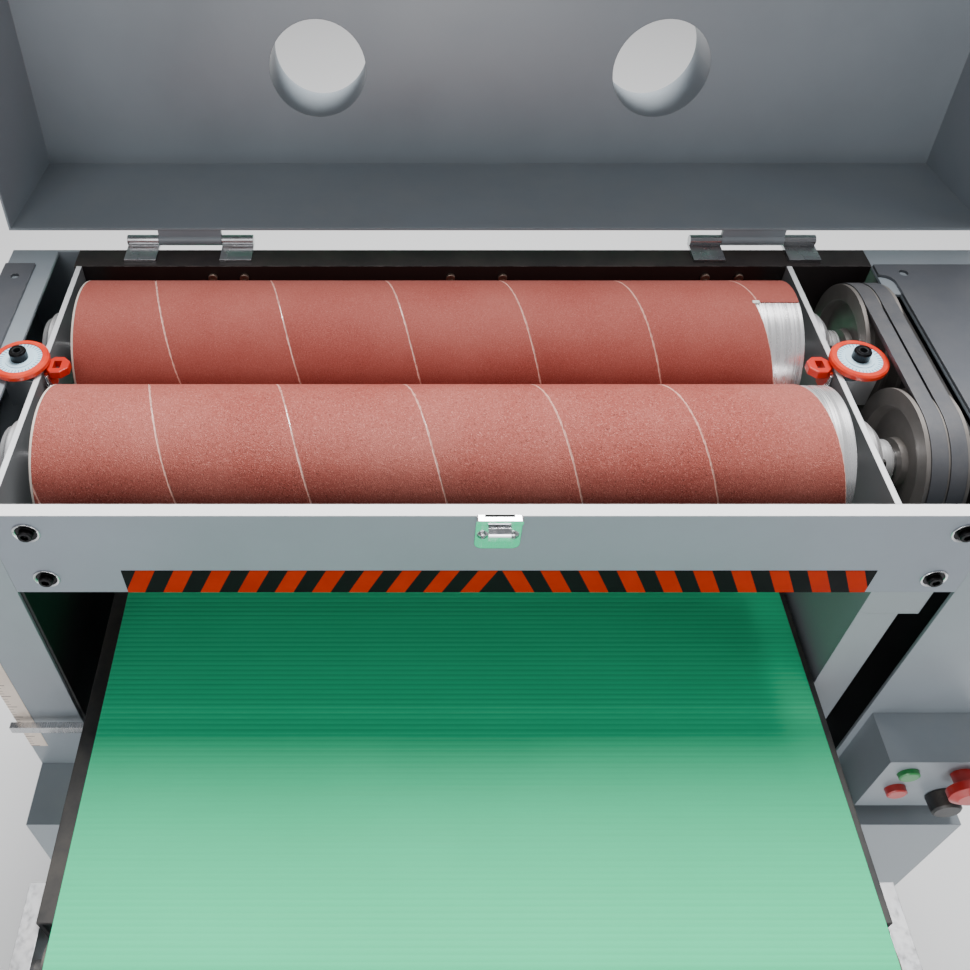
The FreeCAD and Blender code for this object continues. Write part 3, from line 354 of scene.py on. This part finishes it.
def dial_face(name, centre):
    """Orange-red knob with a pale ring that carries a blue tick every ten degrees."""
    material, tree, shader = blank(name)
    place = node(tree, "ShaderNodeTexCoord").outputs["Object"]
    local = node(tree, "ShaderNodeMapping", {"Vector": place, "Location": (-centre[0], -centre[1], 0.0)})
    flat = node(tree, "ShaderNodeSeparateXYZ", {0: local.outputs[0]})
    radius = maths(tree, "SQRT", maths(tree, "ADD", maths(tree, "POWER", flat.outputs["X"], 2.0),
                                       maths(tree, "POWER", flat.outputs["Y"], 2.0)))
    angle = maths(tree, "ARCTAN2", flat.outputs["Y"], flat.outputs["X"])
    step = maths(tree, "FRACT", maths(tree, "DIVIDE", maths(tree, "ADD", angle, math.pi), math.tau / 36))
    tick = maths(tree, "MULTIPLY", maths(tree, "LESS_THAN", step, 0.22),
                 maths(tree, "GREATER_THAN", radius, 0.0148))
    cloud = use(tree, MOTTLE, Scale=60.0)
    ring = blend_colours(tree, tick, (0.62, 0.85, 0.98), (0.0, 0.22, 0.42))
    on_ring = maths(tree, "MULTIPLY", maths(tree, "LESS_THAN", radius, 0.01845),
                    maths(tree, "GREATER_THAN", radius, 0.0072))
    red = blend_colours(tree, ramp(tree, cloud.outputs["Value"], 0.35, 0.65), (0.62, 0.022, 0.006),
                        (0.82, 0.06, 0.02))
    faced = blend_colours(tree, on_ring, red, ring)
    body = blend_colours(tree, maths(tree, "LESS_THAN", radius, 0.0072), faced, (0.015, 0.016, 0.018))
    finish_shader(tree, shader, body, 0.34, cloud.outputs["Fine"], 0.1, 0.0001)
    return material


FRAME_BLUE = enamel("frame_enamel", (0.285, 0.325, 0.36), rough=0.36, dust=0.06)
HOOD_BLUE = enamel("cover_enamel", (0.285, 0.325, 0.36), rough=0.34, dust=0.06)
GUARD_GREY = enamel("guard_enamel", (0.30, 0.335, 0.365), rough=0.3, dust=0.03)
# Side plates: dark grey enamel, with a pale colour on faces that look up as a painted highlight where the
# light from above falls.
PLATE_GREY_WITH_PAINTED_TOP_LIGHT = enamel("plate_enamel", (0.16, 0.165, 0.17), rough=0.4, dust=0.03,
                    painted_light_faces=[("Z", 1, (0.72, 0.73, 0.74))])
# Front panel: the top flange, looking up, is near white as a painted highlight from the light above; faces
# looking back are near black as painted shade.
PANEL_BLUE_WITH_PAINTED_LIGHT = enamel("panel_enamel_painted_light_and_shade", (0.29, 0.315, 0.37), rough=0.5, dust=0.03,
                    painted_light_faces=[("Z", 1, (0.88, 0.88, 0.88)), ("Y", 1, (0.03, 0.032, 0.034))])
DARK_ENAMEL = enamel("dark_enamel", (0.058, 0.066, 0.078), under=(0.3, 0.3, 0.3), rough=0.4, dust=0.04)
TOP_ENAMEL = enamel("top_plate_enamel", (0.10, 0.107, 0.122), under=(0.3, 0.3, 0.3), rough=0.32, dust=0.03)
# Inner walls: near black, painted shade for the dark inside of the machine.
SHADE_BLACK_ENAMEL = enamel("inner_painted_shade", (0.006, 0.006, 0.007), under=(0.06, 0.06, 0.06), rough=0.5, dust=0.04)
BEAM_BLACK = enamel("beam_black", (0.014, 0.009, 0.009), under=(0.3, 0.26, 0.25), rough=0.45, dust=0.03)
MOTOR_GREY = enamel("motor_enamel", (0.10, 0.13, 0.15), rough=0.42, dust=0.4)
POINTER_RED = enamel("pointer_red", (0.62, 0.018, 0.006), under=(0.75, 0.12, 0.05), rough=0.3, dust=0.02)
BRIGHT_TUBE = bare_metal("turned_aluminium", (0.97, 0.97, 0.98), 0.25, (500, 5, 5), metallic=0.75,
                         contrast=0.12, depth=0.05)
CAST_ALUMINIUM = bare_metal("milled_aluminium", (0.62, 0.63, 0.65), 0.38, (200, 200, 30))
GROUND_STEEL = bare_metal("ground_steel", (0.60, 0.61, 0.63), 0.22, (700, 8, 8))
UPRIGHT_STEEL = bare_metal("rod_steel", (0.58, 0.59, 0.61), 0.24, (30, 30, 700))
CHROME = bare_metal("chrome_plate", (0.80, 0.82, 0.84), 0.14, (300, 30, 30), dust=0.08, contrast=0.1)
BLACK_OXIDE = bare_metal("black_oxide", (0.022, 0.022, 0.024), 0.34, (300, 300, 300), dust=0.04)
PULLEY_IRON = bare_metal("pulley_iron", (0.27, 0.25, 0.235), 0.5, (900, 20, 20), dust=0.08,
                         metallic=0.55, contrast=0.45)
HUB_STEEL = bare_metal("hub_steel", (0.36, 0.27, 0.22), 0.42, (600, 30, 30), dust=0.3, contrast=0.4)
V_RUBBER = moulded("v_belt_rubber", (0.075, 0.078, 0.088), 0.5, 0.05, 700.0, 0.35)
ROLL_RUBBER = moulded("roller_rubber", (0.03, 0.03, 0.032), 0.6, 0.2, 800.0, 0.3)
BELT_GREEN = conveyor_rubber("conveyor_green", (0.026, 0.54, 0.245), (0.036, 0.60, 0.285))
BED_BLACK = enamel("bed_black", (0.012, 0.012, 0.013), under=(0.12, 0.12, 0.12), rough=0.4, dust=0.05)
BLACK_PLASTIC = moulded("black_plastic", (0.02, 0.02, 0.022), 0.4, 0.15)
GREEN_KEY = moulded("green_key", (0.01, 0.25, 0.05), 0.3, 0.05, coat=0.3)
RED_KEY = moulded("red_key", (0.5, 0.012, 0.01), 0.3, 0.05, coat=0.3)
BACKING_CLOTH = moulded("backing_cloth", (0.72, 0.64, 0.56), 0.55, 0.02)
WHITE_CLIP = moulded("white_clip", (0.75, 0.75, 0.72), 0.4, 0.1)
FRONT_GRIT = abrasive("coarse_grit", 1500.0, (0.315, 0.062, 0.044), (0.085, 0.010, 0.006),
                      (0.62, 0.24, 0.19), 0.9)
REAR_GRIT = abrasive("fine_grit", 2600.0, (0.31, 0.058, 0.042), (0.17, 0.024, 0.015), (0.55, 0.19, 0.15), 0.5)


def node_centre(name):
    low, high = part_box(name)
    return tuple((a + b) / 2 for a, b in zip(low, high))


TAPE_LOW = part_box("hazard_tape")[0]
TAPE_MIDDLE, TAPE_PITCH, TAPE_LEAN = 8.9 * MM, 29.8 * MM, 0.45
SCALE_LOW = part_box("depth_scale")[0]
CARRIED = {
    FRAME_BLUE: ("cabinet_shell", "cabinet_door", "left_upright", "right_upright", "anchor_feet",
                 "control_box"),
    PANEL_BLUE_WITH_PAINTED_LIGHT: ("front_panel",),
    BEAM_BLACK: ("rear_beam",),
    HOOD_BLUE: ("hood_shell", "dust_ports"),
    GUARD_GREY: ("drive_guard",),
    PLATE_GREY_WITH_PAINTED_TOP_LIGHT: ("side_plates",),
    TOP_ENAMEL: ("top_plates",),
    DARK_ENAMEL: ("motor_mount", "lift_gearbox"),
    SHADE_BLACK_ENAMEL: ("inner_walls",),
    BED_BLACK: ("table_bed",),
    MOTOR_GREY: ("motor_body", "feed_gearmotor"),
    POINTER_RED: ("dial_pointers",),
    BRIGHT_TUBE: ("front_drum_core", "rear_drum_core", "bearing_housings"),
    CAST_ALUMINIUM: ("infeed_press_carrier", "outfeed_press_carrier", "roller_blocks", "dial_mounts"),
    GROUND_STEEL: ("front_drum_shaft", "rear_drum_shaft", "infeed_press_roller", "outfeed_press_roller",
                   "depth_pointer", "handwheel"),
    UPRIGHT_STEEL: ("lift_columns", "left_lift_nut", "right_lift_nut", "guide_bushes", "door_hinges",
                    "hood_hinges"),
    CHROME: ("latch_keeper",),
    BLACK_OXIDE: ("frame_screws", "lift_chain"),
    PULLEY_IRON: ("front_pulley", "rear_pulley", "motor_pulley"),
    V_RUBBER: ("v_belts",),
    ROLL_RUBBER: ("drive_roller", "front_roller"),
    BLACK_PLASTIC: ("handwheel_grip", "speed_knob"),
    GREEN_KEY: ("start_button",),
    RED_KEY: ("stop_button", "emergency_stop"),
    BELT_GREEN: ("conveyor_belt",),
    hazard("tape_bands", TAPE_MIDDLE, TAPE_LOW[2], TAPE_PITCH, TAPE_LEAN): ("hazard_tape",),
    scale_strip("scale_cream", SCALE_LOW[0], SCALE_LOW[2]): ("depth_scale",),
    dial_face("left_dial_face", node_centre("left_dial")): ("left_dial",),
    dial_face("right_dial_face", node_centre("right_dial")): ("right_dial",),
    FRONT_GRIT: ("front_abrasive",),
    REAR_GRIT: ("rear_abrasive",),
}
for material, names in CARRIED.items():
    for name in names:
        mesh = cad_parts[name].data
        mesh.materials.clear()
        mesh.materials.append(material)


# ------------------------------------------------------------------ surfaces

def skin(name, grid, material, wrap_u=False, wrap_v=False, uv=None, sharp=35):
    """A mesh from a (rows, columns, 3) array of points, joined round where it wraps."""
    rows, columns = grid.shape[:2]
    index = np.arange(rows * columns).reshape(rows, columns)
    if wrap_u:
        index = np.vstack([index, index[:1]])
    if wrap_v:
        index = np.hstack([index, index[:, :1]])
    quads = np.stack([index[:-1, :-1], index[1:, :-1], index[1:, 1:], index[:-1, 1:]], axis=-1).reshape(-1, 4)
    mesh = bpy.data.meshes.new(name)
    mesh.from_pydata(grid.reshape(-1, 3).tolist(), [], quads.tolist())
    if uv is not None:
        layer = mesh.uv_layers.new(name="strip")
        corner = np.empty(len(mesh.loops), dtype=np.int32)
        mesh.loops.foreach_get("vertex_index", corner)
        layer.data.foreach_set("uv", uv.reshape(-1, 2)[corner].ravel().astype(np.float32))
    shape = bmesh.new()
    shape.from_mesh(mesh)
    bmesh.ops.remove_doubles(shape, verts=shape.verts, dist=1e-7)
    bmesh.ops.dissolve_degenerate(shape, edges=shape.edges, dist=1e-7)
    bmesh.ops.recalc_face_normals(shape, faces=shape.faces)
    shape.to_mesh(mesh)
    shape.free()
    mesh.shade_smooth()
    mesh.set_sharp_from_angle(angle=math.radians(sharp))
    mesh.materials.append(material)
    piece = bpy.data.objects.new(name, mesh)
    bpy.context.collection.objects.link(piece)
    return piece


def joined(name, pieces):
    """Make several pieces one object."""
    with bpy.context.temp_override(active_object=pieces[0], object=pieces[0], selected_objects=pieces,
                                   selected_editable_objects=pieces):
        bpy.ops.object.join()
    pieces[0].name = name
    return pieces[0]


def axes_for(direction):
    """Two unit vectors square to a direction."""
    direction = np.array(direction, dtype=float)
    direction /= np.linalg.norm(direction)
    other = np.array([0.0, 0.0, 1.0]) if abs(direction[2]) < 0.9 else np.array([1.0, 0.0, 0.0])
    first = np.cross(direction, other)
    first /= np.linalg.norm(first)
    return direction, first, np.cross(direction, first)


def socket_screw(name, seat, direction, radius, height, material, steps=72):
    """Rings stacked along the screw: a knurled side whose radius ripples, a chamfer, a flat top and a
    six-sided socket whose radius is apothem / cos(angle from the nearest flat's middle)."""
    angle = np.linspace(0, math.tau, steps, endpoint=False)
    ripple = radius * (1 - 0.025 * (0.5 + 0.5 * np.cos(24 * angle)))
    flat = (angle + math.pi / 6) % (math.pi / 3) - math.pi / 6
    hexagon = radius * 0.5 / np.cos(flat)
    plain = np.ones(steps)
    rings = [(0.0, plain * 0), (0.0, ripple), (height * 0.12, ripple), (height * 0.8, ripple),
             (height * 0.82, plain * radius), (height, plain * radius * 0.88), (height, hexagon * 1.06),
             (height * 0.96, hexagon), (height * 0.4, hexagon), (height * 0.34, plain * 0)]
    along, first, second = axes_for(direction)
    grid = np.stack([np.array(seat) + along * up + np.outer(np.cos(angle) * wide, first)
                     + np.outer(np.sin(angle) * wide, second) for up, wide in rings])
    return skin(name, grid, material, wrap_v=True)


def lathe(name, centre, direction, profile, material, steps=72):
    """A profile of (along, radius) swept round a direction through the centre."""
    angle = np.linspace(0, math.tau, steps, endpoint=False)
    along, first, second = axes_for(direction)
    grid = np.stack([np.array(centre) + along * up + np.outer(np.cos(angle), first) * wide
                     + np.outer(np.sin(angle), second) * wide for up, wide in profile])
    return skin(name, grid, material, wrap_v=True)


STRIP_PITCH, STRIP_GAP, STRIP_SHEET = 105 * MM, 0.3 * MM, 0.9 * MM


def helical_wrap(label, seam, seam_angle, tail_angle, free_edge, free_pitch, material):
    """A strip wound on the drum: its left edge lies at x = seam + pitch * turns and its right edge a pitch
    further on, less a gap. On the last turn nothing lies beside it, and its cut edge is at free_edge +
    free_pitch * turns. x is held between the drum's ends. The section is a thin loop of outside and
    inside."""
    low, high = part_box(f"{label}_abrasive")
    centre = ((low[1] + high[1]) / 2, (low[2] + high[2]) / 2)
    outer = (high[2] - low[2]) / 2
    inner = outer - STRIP_SHEET
    turns_back = math.ceil((seam - low[0]) / STRIP_PITCH) + 1
    start = math.radians(seam_angle - 360 * turns_back)
    stop = math.radians(tail_angle)
    angle = np.arange(start, stop, math.radians(2.0))
    angle = np.concatenate([angle[:1], angle, [stop, stop]])
    left = seam + STRIP_PITCH * (angle - math.radians(seam_angle)) / math.tau
    spare = (angle - stop + math.tau) / math.tau
    right = np.where(spare > 0, free_edge + free_pitch * spare, left + STRIP_PITCH)
    share = np.array([0, 0.004, 0.009, 0.3, 0.7, 0.991, 0.996, 1, 1, 0])
    lift = np.array([0.6, 0.93, 1, 1, 1, 1, 0.93, 0.6, 0, 0])
    x = left[:, None] + STRIP_GAP / 2 + share * (right - left - STRIP_GAP)[:, None]
    x = np.clip(x, low[0] + 2.2 * MM, high[0] - 0.6 * MM)
    lift = np.tile(lift, (len(angle), 1))
    lift[[0, -1]] = 0
    radius = inner + (outer - inner) * lift
    turned = angle[:, None]
    grid = np.stack([x, centre[0] + radius * np.cos(turned), centre[1] + radius * np.sin(turned)], axis=-1)
    uv = np.stack([np.tile(turned * outer, (1, len(share))), np.tile(share, (len(angle), 1))], axis=-1)
    piece = skin(f"{label}_wrap", grid, material, wrap_v=True, uv=uv, sharp=60)
    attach(piece, f"{label}_drum")
    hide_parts(f"{label}_abrasive")
    rim = [(0.2, -1.0), (0.2, -0.4), (0.9, 0), (2.0, 0), (2.1, -0.5), (2.1, -1.0)]
    profile = [(low[0] + along * MM, outer + lift * MM) for along, lift in rim]
    hem = lathe(f"{label}_hem", (0, *centre), (1, 0, 0), profile + profile[:1], BACKING_CLOTH, 144)
    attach(hem, f"{label}_drum")
    return centre, outer


def drums():
    """Both strips, and the clip on the rear one: stacked rounded rectangles, each side |cos| ** 0.4 and
    |sin| ** 0.4 of the turn, on the drum's surface at the strip's tail."""
    helical_wrap("front", -66.6 * MM, 47.0, 20.0 + 360 * 3, 251.0 * MM, 63.0 * MM, FRONT_GRIT)
    centre, outer = helical_wrap("rear", -83.4 * MM, 53.25, 97.7 + 360 * 3, 241.8 * MM, 85.3 * MM,
                                 REAR_GRIT)
    angle = math.radians(97.5)
    out = np.array([0, math.cos(angle), math.sin(angle)])
    across = np.array([0, -math.sin(angle), math.cos(angle)])
    seat = np.array([243 * MM, centre[0], centre[1]]) + out * (outer - 0.6 * MM)
    u = np.linspace(0, math.tau, 32, endpoint=False)
    rings = []
    for up, size in ((0, 0.0), (0, 1.0), (0.8, 1.0), (1.1, 0.8), (1.1, 0.0)):
        side = size * 3.2 * MM * np.sign(np.cos(u)) * np.abs(np.cos(u)) ** 0.4
        run = size * 1.8 * MM * np.sign(np.sin(u)) * np.abs(np.sin(u)) ** 0.4
        rings.append(seat + out * up * MM + np.outer(side, [1, 0, 0]) + np.outer(run, across))
    clip = skin("wrap_clip", np.stack(rings), WHITE_CLIP, wrap_v=True)
    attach(clip, "rear_drum")


def ribbed_belt():
    """A closed loop round both rollers: straight runs and half circles at the belt's outer radius, with a
    low rounded rib every few millimetres of path, |sin|-shaped, and a smooth inside."""
    low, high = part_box("conveyor_belt")
    rib_height = 0.35 * MM
    radius = (high[2] - low[2]) / 2 - rib_height
    z = (high[2] + low[2]) / 2
    reach = high[1] - (high[2] - low[2]) / 2
    run, bend = 2 * reach, math.pi * radius
    length = 2 * (run + bend)
    ribs = 360
    path = np.linspace(0, length, ribs * 6, endpoint=False)

    def ring(path, grow):
        part = path % (run + bend)
        side = np.where(path < run + bend, 1.0, -1.0)
        turn = np.clip((part - run) / radius, 0, math.pi)
        y = side * (-reach + np.minimum(part, run) + (radius + grow) * np.sin(turn))
        return y, z + side * (radius + grow) * np.cos(turn)

    rib = rib_height * np.abs(np.sin(math.pi * ribs * path / length)) ** 0.5
    inside, rounding = -1.2 * MM, 1.5 * MM
    grid = []
    for x, grow in ((low[0], inside), (low[0], rib * 0.2), (low[0] + rounding, rib),
                    (high[0] - rounding, rib), (high[0], rib * 0.2), (high[0], inside)):
        y, height = ring(path, grow)
        grid.append(np.stack([np.full_like(y, x), y, height], axis=-1))
    belt = skin("ribbed_belt", np.stack(grid), BELT_GREEN, wrap_u=True, wrap_v=True, sharp=50)
    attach(belt, "table")
    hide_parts("conveyor_belt")


def frame_screws():
    """Socket-head screws in washers at the panel's ends, each washer's hollow holding a flat black disc as
    painted shade, and small dull bolts along the rear beam.
    """
    panel_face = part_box("front_panel")[0][1]
    beam_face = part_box("rear_beam")[0][1]
    drum_height = node_centre("front_drum_core")[2]
    washer = [(-0.3, 8.4), (-0.3, 10.2), (1.0, 10.4), (1.4, 9.9), (0.9, 8.4), (-0.3, 8.4)]
    # A flat black disc inside each washer ring: painted shade in the washer's hollow round the screw head.
    washer_shade_disc = [(-0.3, 0), (-0.3, 8.6), (0.4, 8.6), (0.4, 0)]
    pieces = []
    screw_x, screw_rise = (-348 * MM, 352 * MM), (26 * MM, -31.6 * MM)
    bolt_x, bolt_rise = (-247, -217, -20.5, 29, 222, 254), 33 * MM
    for x in screw_x:
        for rise in screw_rise:
            seat = (x, panel_face, drum_height + rise)
            pieces.append(lathe("washer", seat, (0, -1, 0), [(a * MM, r * MM) for a, r in washer], CHROME))
            pieces.append(lathe("washer_shade_disc", seat, (0, -1, 0), [(a * MM, r * MM) for a, r in washer_shade_disc], BLACK_OXIDE))
            head = (seat[0], seat[1] - 0.4 * MM, seat[2])
            pieces.append(socket_screw("screw", head, (0, -1, 0), 5.6 * MM, 5 * MM, BLACK_OXIDE))
    for x in bolt_x:
        seat = (x * MM, beam_face, drum_height + bolt_rise)
        pieces.append(socket_screw("bolt", seat, (0, -1, 0), 4.4 * MM, 3 * MM, HUB_STEEL))
    whole = joined("socket_screws", pieces)
    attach(whole, "frame")
    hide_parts("frame_screws")


def housing_screws():
    """Four small screws on each bearing housing, at its corners' angles on a pitch circle."""
    low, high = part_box("bearing_housings")
    right_hub = 14.5 * MM
    pieces = []
    for label in ("front", "rear"):
        _, y, z = node_centre(f"{label}_drum_core")
        for face, way, ring in ((low[0], -1, 24), (high[0] - right_hub, 1, 25.5)):
            for quarter in range(4):
                angle = math.pi / 4 + quarter * math.pi / 2
                seat = (face, y + ring * MM * math.cos(angle), z + ring * MM * math.sin(angle))
                pieces.append(socket_screw("housing_screw", seat, (way, 0, 0), 3.4 * MM, 3.2 * MM,
                                           BLACK_OXIDE, 36))
    whole = joined("housing_screws", pieces)
    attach(whole, "frame")


def dial_screws():
    """The dark socket screw in the middle of each dial."""
    for side in ("left", "right"):
        x, y, _ = node_centre(f"{side}_dial")
        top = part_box(f"{side}_dial")[1][2]
        seat = (x, y, top - 9.2 * MM)
        piece = socket_screw(f"{side}_dial_screw", seat, (0, 0, 1), 7.3 * MM, 9.4 * MM, BLACK_OXIDE)
        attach(piece, f"dial_{side}")


def prism(name, outline, first, last, axis, material):
    """A closed outline of (u, v) carried along an axis from first to last, each end drawn to its middle."""
    outline = np.array(outline, dtype=float)
    middle = np.tile(outline.mean(axis=0), (len(outline), 1))
    order = {"X": (2, 0, 1), "Y": (0, 2, 1), "Z": (0, 1, 2)}[axis]
    rings = []
    for flat, at in ((middle, first), (outline, first), (outline, last), (middle, last)):
        points = np.column_stack([flat, np.full(len(flat), at)])
        rings.append(points[:, order])
    return skin(name, np.stack(rings), material, wrap_v=True)


def rounded(centre, half, corner, steps=10):
    """A rectangle's outline whose corners are quarter circles round points set in by the corner's radius."""
    turn = np.linspace(0, math.pi / 2, steps)
    points = []
    for quarter, (right, up) in enumerate(((1, 1), (-1, 1), (-1, -1), (1, -1))):
        angle = turn + quarter * math.pi / 2
        hub = (centre[0] + right * (half[0] - corner), centre[1] + up * (half[1] - corner))
        points.append(np.stack([hub[0] + corner * np.cos(angle), hub[1] + corner * np.sin(angle)], axis=-1))
    return np.vstack(points)


def dial_brackets():
    """An eight-sided ring beside each side plate: outer radius = apothem / cos(angle from the nearest flat's
    middle), inner radius = that of a rectangle, with a leg down the plate and a stud on its foot."""
    spots = np.array([vertex.co[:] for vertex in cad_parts["dial_pointers"].data.vertices])
    pieces = []
    for side in (-1, 1):
        half = spots[spots[:, 0] * side > 0]
        low, high = half.min(axis=0), half.max(axis=0)
        x, y = (low[0] + high[0]) / 2, (low[1] + high[1]) / 2
        angle = np.linspace(0, math.tau, 96, endpoint=False)
        outer = 10 * MM / np.cos((angle + math.pi / 8) % (math.pi / 4) - math.pi / 8)
        inner = 1 / np.maximum(np.abs(np.cos(angle)) / (3.2 * MM), np.abs(np.sin(angle)) / (4.6 * MM))
        rings = []
        for radius, top in ((outer, -7), (outer, -0.8), (outer - 0.8 * MM, 0), (inner, 0), (inner, -7)):
            rings.append(np.stack([x + radius * np.cos(angle), y + radius * np.sin(angle),
                                   np.full_like(angle, high[2] + top * MM)], axis=-1))
        pieces.append(skin("ring", np.stack(rings), POINTER_RED, wrap_u=True, wrap_v=True, sharp=30))
        inside = low[0] if side < 0 else high[0]
        leg = rounded((inside - side * 1.5 * MM, y), (1.5 * MM, 9 * MM), 0.8 * MM)
        pieces.append(prism("leg", leg, low[2], high[2] - 3 * MM, "Z", POINTER_RED))
        stand = (inside - side * 3.4 * MM, y - 13 * MM)
        foot = rounded(stand, (3 * MM, 6 * MM), 1.5 * MM)
        pieces.append(prism("foot", foot, high[2] - 22 * MM, high[2] - 18 * MM, "Z", POINTER_RED))
        stud = [(-18, 0), (-18, 3), (-12, 3), (-11.2, 2.6), (-11.2, 1.9), (-3, 1.9), (-1.5, 1.2), (-1.5, 0)]
        pieces.append(lathe("stud", (*stand, high[2]), (0, 0, 1), [(a * MM, r * MM) for a, r in stud],
                            GROUND_STEEL, 36))
    whole = joined("dial_brackets", pieces)
    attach(whole, "frame")
    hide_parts("dial_pointers")


def latch():
    """A plate with round corners, two domed screws, and a hook: a sheet whose outside runs straight out,
    round a quarter circle and straight down, and whose inside is the same less the sheet's thickness."""
    low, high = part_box("latch_keeper")
    face = high[1]
    x, z = (low[0] + high[0]) / 2, (low[2] + high[2]) / 2
    half = ((high[0] - low[0]) / 2, (high[2] - low[2]) / 2)
    pieces = [prism("keeper_plate", rounded((x, z), half, 6 * MM), face, face - 2.2 * MM, "Y", CHROME)]
    lip = rounded((x, high[2] - 2.5 * MM), (half[0], 2.5 * MM), 1.5 * MM)
    pieces.append(prism("keeper_lip", lip, face, face - 6 * MM, "Y", CHROME))
    reach, bend, sheet = 12 * MM, 6 * MM, 2 * MM
    turn = np.linspace(math.pi / 2, 0, 12)
    back = np.array([[face - 1 * MM, high[2] - bend]])
    tip = np.array([[face - reach, high[2] - 17 * MM]])
    hub = np.array([face - reach + bend, high[2] - 2 * bend])
    arc = np.stack([-np.cos(turn), np.sin(turn)], axis=-1)
    outside = np.vstack([back, hub + bend * arc, tip])
    inside = np.vstack([back - [0, sheet], hub + (bend - sheet) * arc, tip + [sheet, 0]])
    left, right = x - 8.5 * MM, x + 8.5 * MM
    corners = [np.column_stack([np.full(len(outside), at), edge])
               for at, edge in ((left, outside), (right, outside), (right, inside), (left, inside))]
    strip = np.stack(corners, axis=1)
    ends = [np.repeat(row.mean(axis=0, keepdims=True), 4, axis=0)[None] for row in (strip[0], strip[-1])]
    pieces.append(skin("hook", np.concatenate([ends[0], strip, ends[1]]), CHROME, wrap_v=True))
    dome = [(0, 0), (0, 4.2), (1.0, 4.0), (2.0, 3.0), (2.5, 1.6), (2.2, 1.4), (1.2, 1.3), (1.2, 0)]
    for shift in (-11.5 * MM, 11.5 * MM):
        pieces.append(lathe("keeper_screw", (x + shift, face - 2 * MM, z - 2 * MM), (0, -1, 0),
                            [(a * MM, r * MM) for a, r in dome], GROUND_STEEL, 36))
    whole = joined("latch_catch", pieces)
    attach(whole, "frame")
    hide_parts("latch_keeper")


def lift_threads():
    """Two screws and four guide posts. A thread's radius is a clipped triangle wave of height / lead - turn,
    and a post is a plain lathe shape with a chamfered foot."""
    low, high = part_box("lift_columns")
    pieces = []
    lead, post_out, post_deep = 4 * MM, 55 * MM, 180 * MM
    for side, out in (("left", -1), ("right", 1)):
        x, y, _ = node_centre(f"{side}_lift_nut")
        turn = np.linspace(0, math.tau, 24, endpoint=False)
        height = np.arange(low[2] + 20.5 * MM, high[2] - 14 * MM, 1 * MM)
        wave = np.abs(((height[:, None] / lead - turn[None, :] / math.tau) % 1) * 2 - 1)
        radius = (8.6 + 1.35 * np.clip(1.6 * wave - 0.3, 0, 1)) * MM
        radius[[0, -1]] = 0
        height[0], height[-1] = height[1], height[-2]
        grid = np.stack([x + radius * np.cos(turn), y + radius * np.sin(turn),
                         np.tile(height[:, None], (1, len(turn)))], axis=-1)
        pieces.append(skin("thread", grid, UPRIGHT_STEEL, wrap_v=True, sharp=30))
        for end in (-1, 1):
            post = [(low[2], 0), (low[2], 11), (low[2] + 1 * MM, 12), (high[2], 12), (high[2], 0)]
            pieces.append(lathe("post", (x + out * post_out, end * post_deep, 0), (0, 0, 1),
                                [(a, r * MM) for a, r in post], UPRIGHT_STEEL, 48))
    whole = joined("lift_rods", pieces)
    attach(whole, "table")
    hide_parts("lift_columns")


def stage():
    """A pale floor, a soft key above and behind, a fill in front, one at the side, a low one for the front
    panel, and a pale sky."""
    size = 30.0
    sheet = np.array([[[-size, -size, 0], [size, -size, 0]], [[-size, size, 0], [size, size, 0]]])
    floor = skin("floor", sheet, studio_floor())
    lights = (("key", (0.2, 1.0, 3.2), (-20, 4, 0), 1.4, 188.0),
              ("fill", (-1.0, -2.2, 3.0), (38, -16, 0), 1.6, 20.0),
              ("side", (2.8, -0.6, 2.4), (0, 55, 0), 1.8, 14.0),
              ("low", (0.0, -2.5, 0.72), (88, 0, 0), 1.1, 26.0))
    for name, place, turn, width, power in lights:
        lamp = bpy.data.lights.new(name, "AREA")
        lamp.energy = power
        lamp.size = width
        holder = bpy.data.objects.new(name, lamp)
        holder.location = place
        holder.rotation_euler = [math.radians(angle) for angle in turn]
        bpy.context.collection.objects.link(holder)
    world = bpy.data.worlds.new("studio")
    world.use_nodes = True
    sky = world.node_tree.nodes["Background"]
    sky.inputs["Color"].default_value = (0.93, 0.95, 1.0, 1.0)
    sky.inputs["Strength"].default_value = 0.23
    bpy.context.scene.world = world


def studio_floor():
    material, tree, shader = blank("studio_floor")
    cloud = use(tree, MOTTLE, Scale=0.6)
    tone = blend_colours(tree, cloud.outputs["Value"], (0.78, 0.78, 0.78), (0.84, 0.84, 0.84))
    finish_shader(tree, shader, tone, 0.7)
    return material


def camera():
    """Above the infeed side, looking down at the drums, with the lens shifted sideways."""
    view = bpy.data.cameras.new("view")
    view.sensor_width = 36.0
    view.lens = 35.66
    view.shift_x = 0.0907
    view.shift_y = -0.0271
    view.clip_start = 0.05
    holder = bpy.data.objects.new("view", view)
    holder.location = (-0.0716, -0.6099, 1.5100)
    holder.rotation_euler = (math.radians(90 - 47.35), 0, 0)
    bpy.context.collection.objects.link(holder)
    bpy.context.scene.camera = holder


drums()
ribbed_belt()
frame_screws()
housing_screws()
dial_screws()
dial_brackets()
latch()
lift_threads()
stage()
camera()
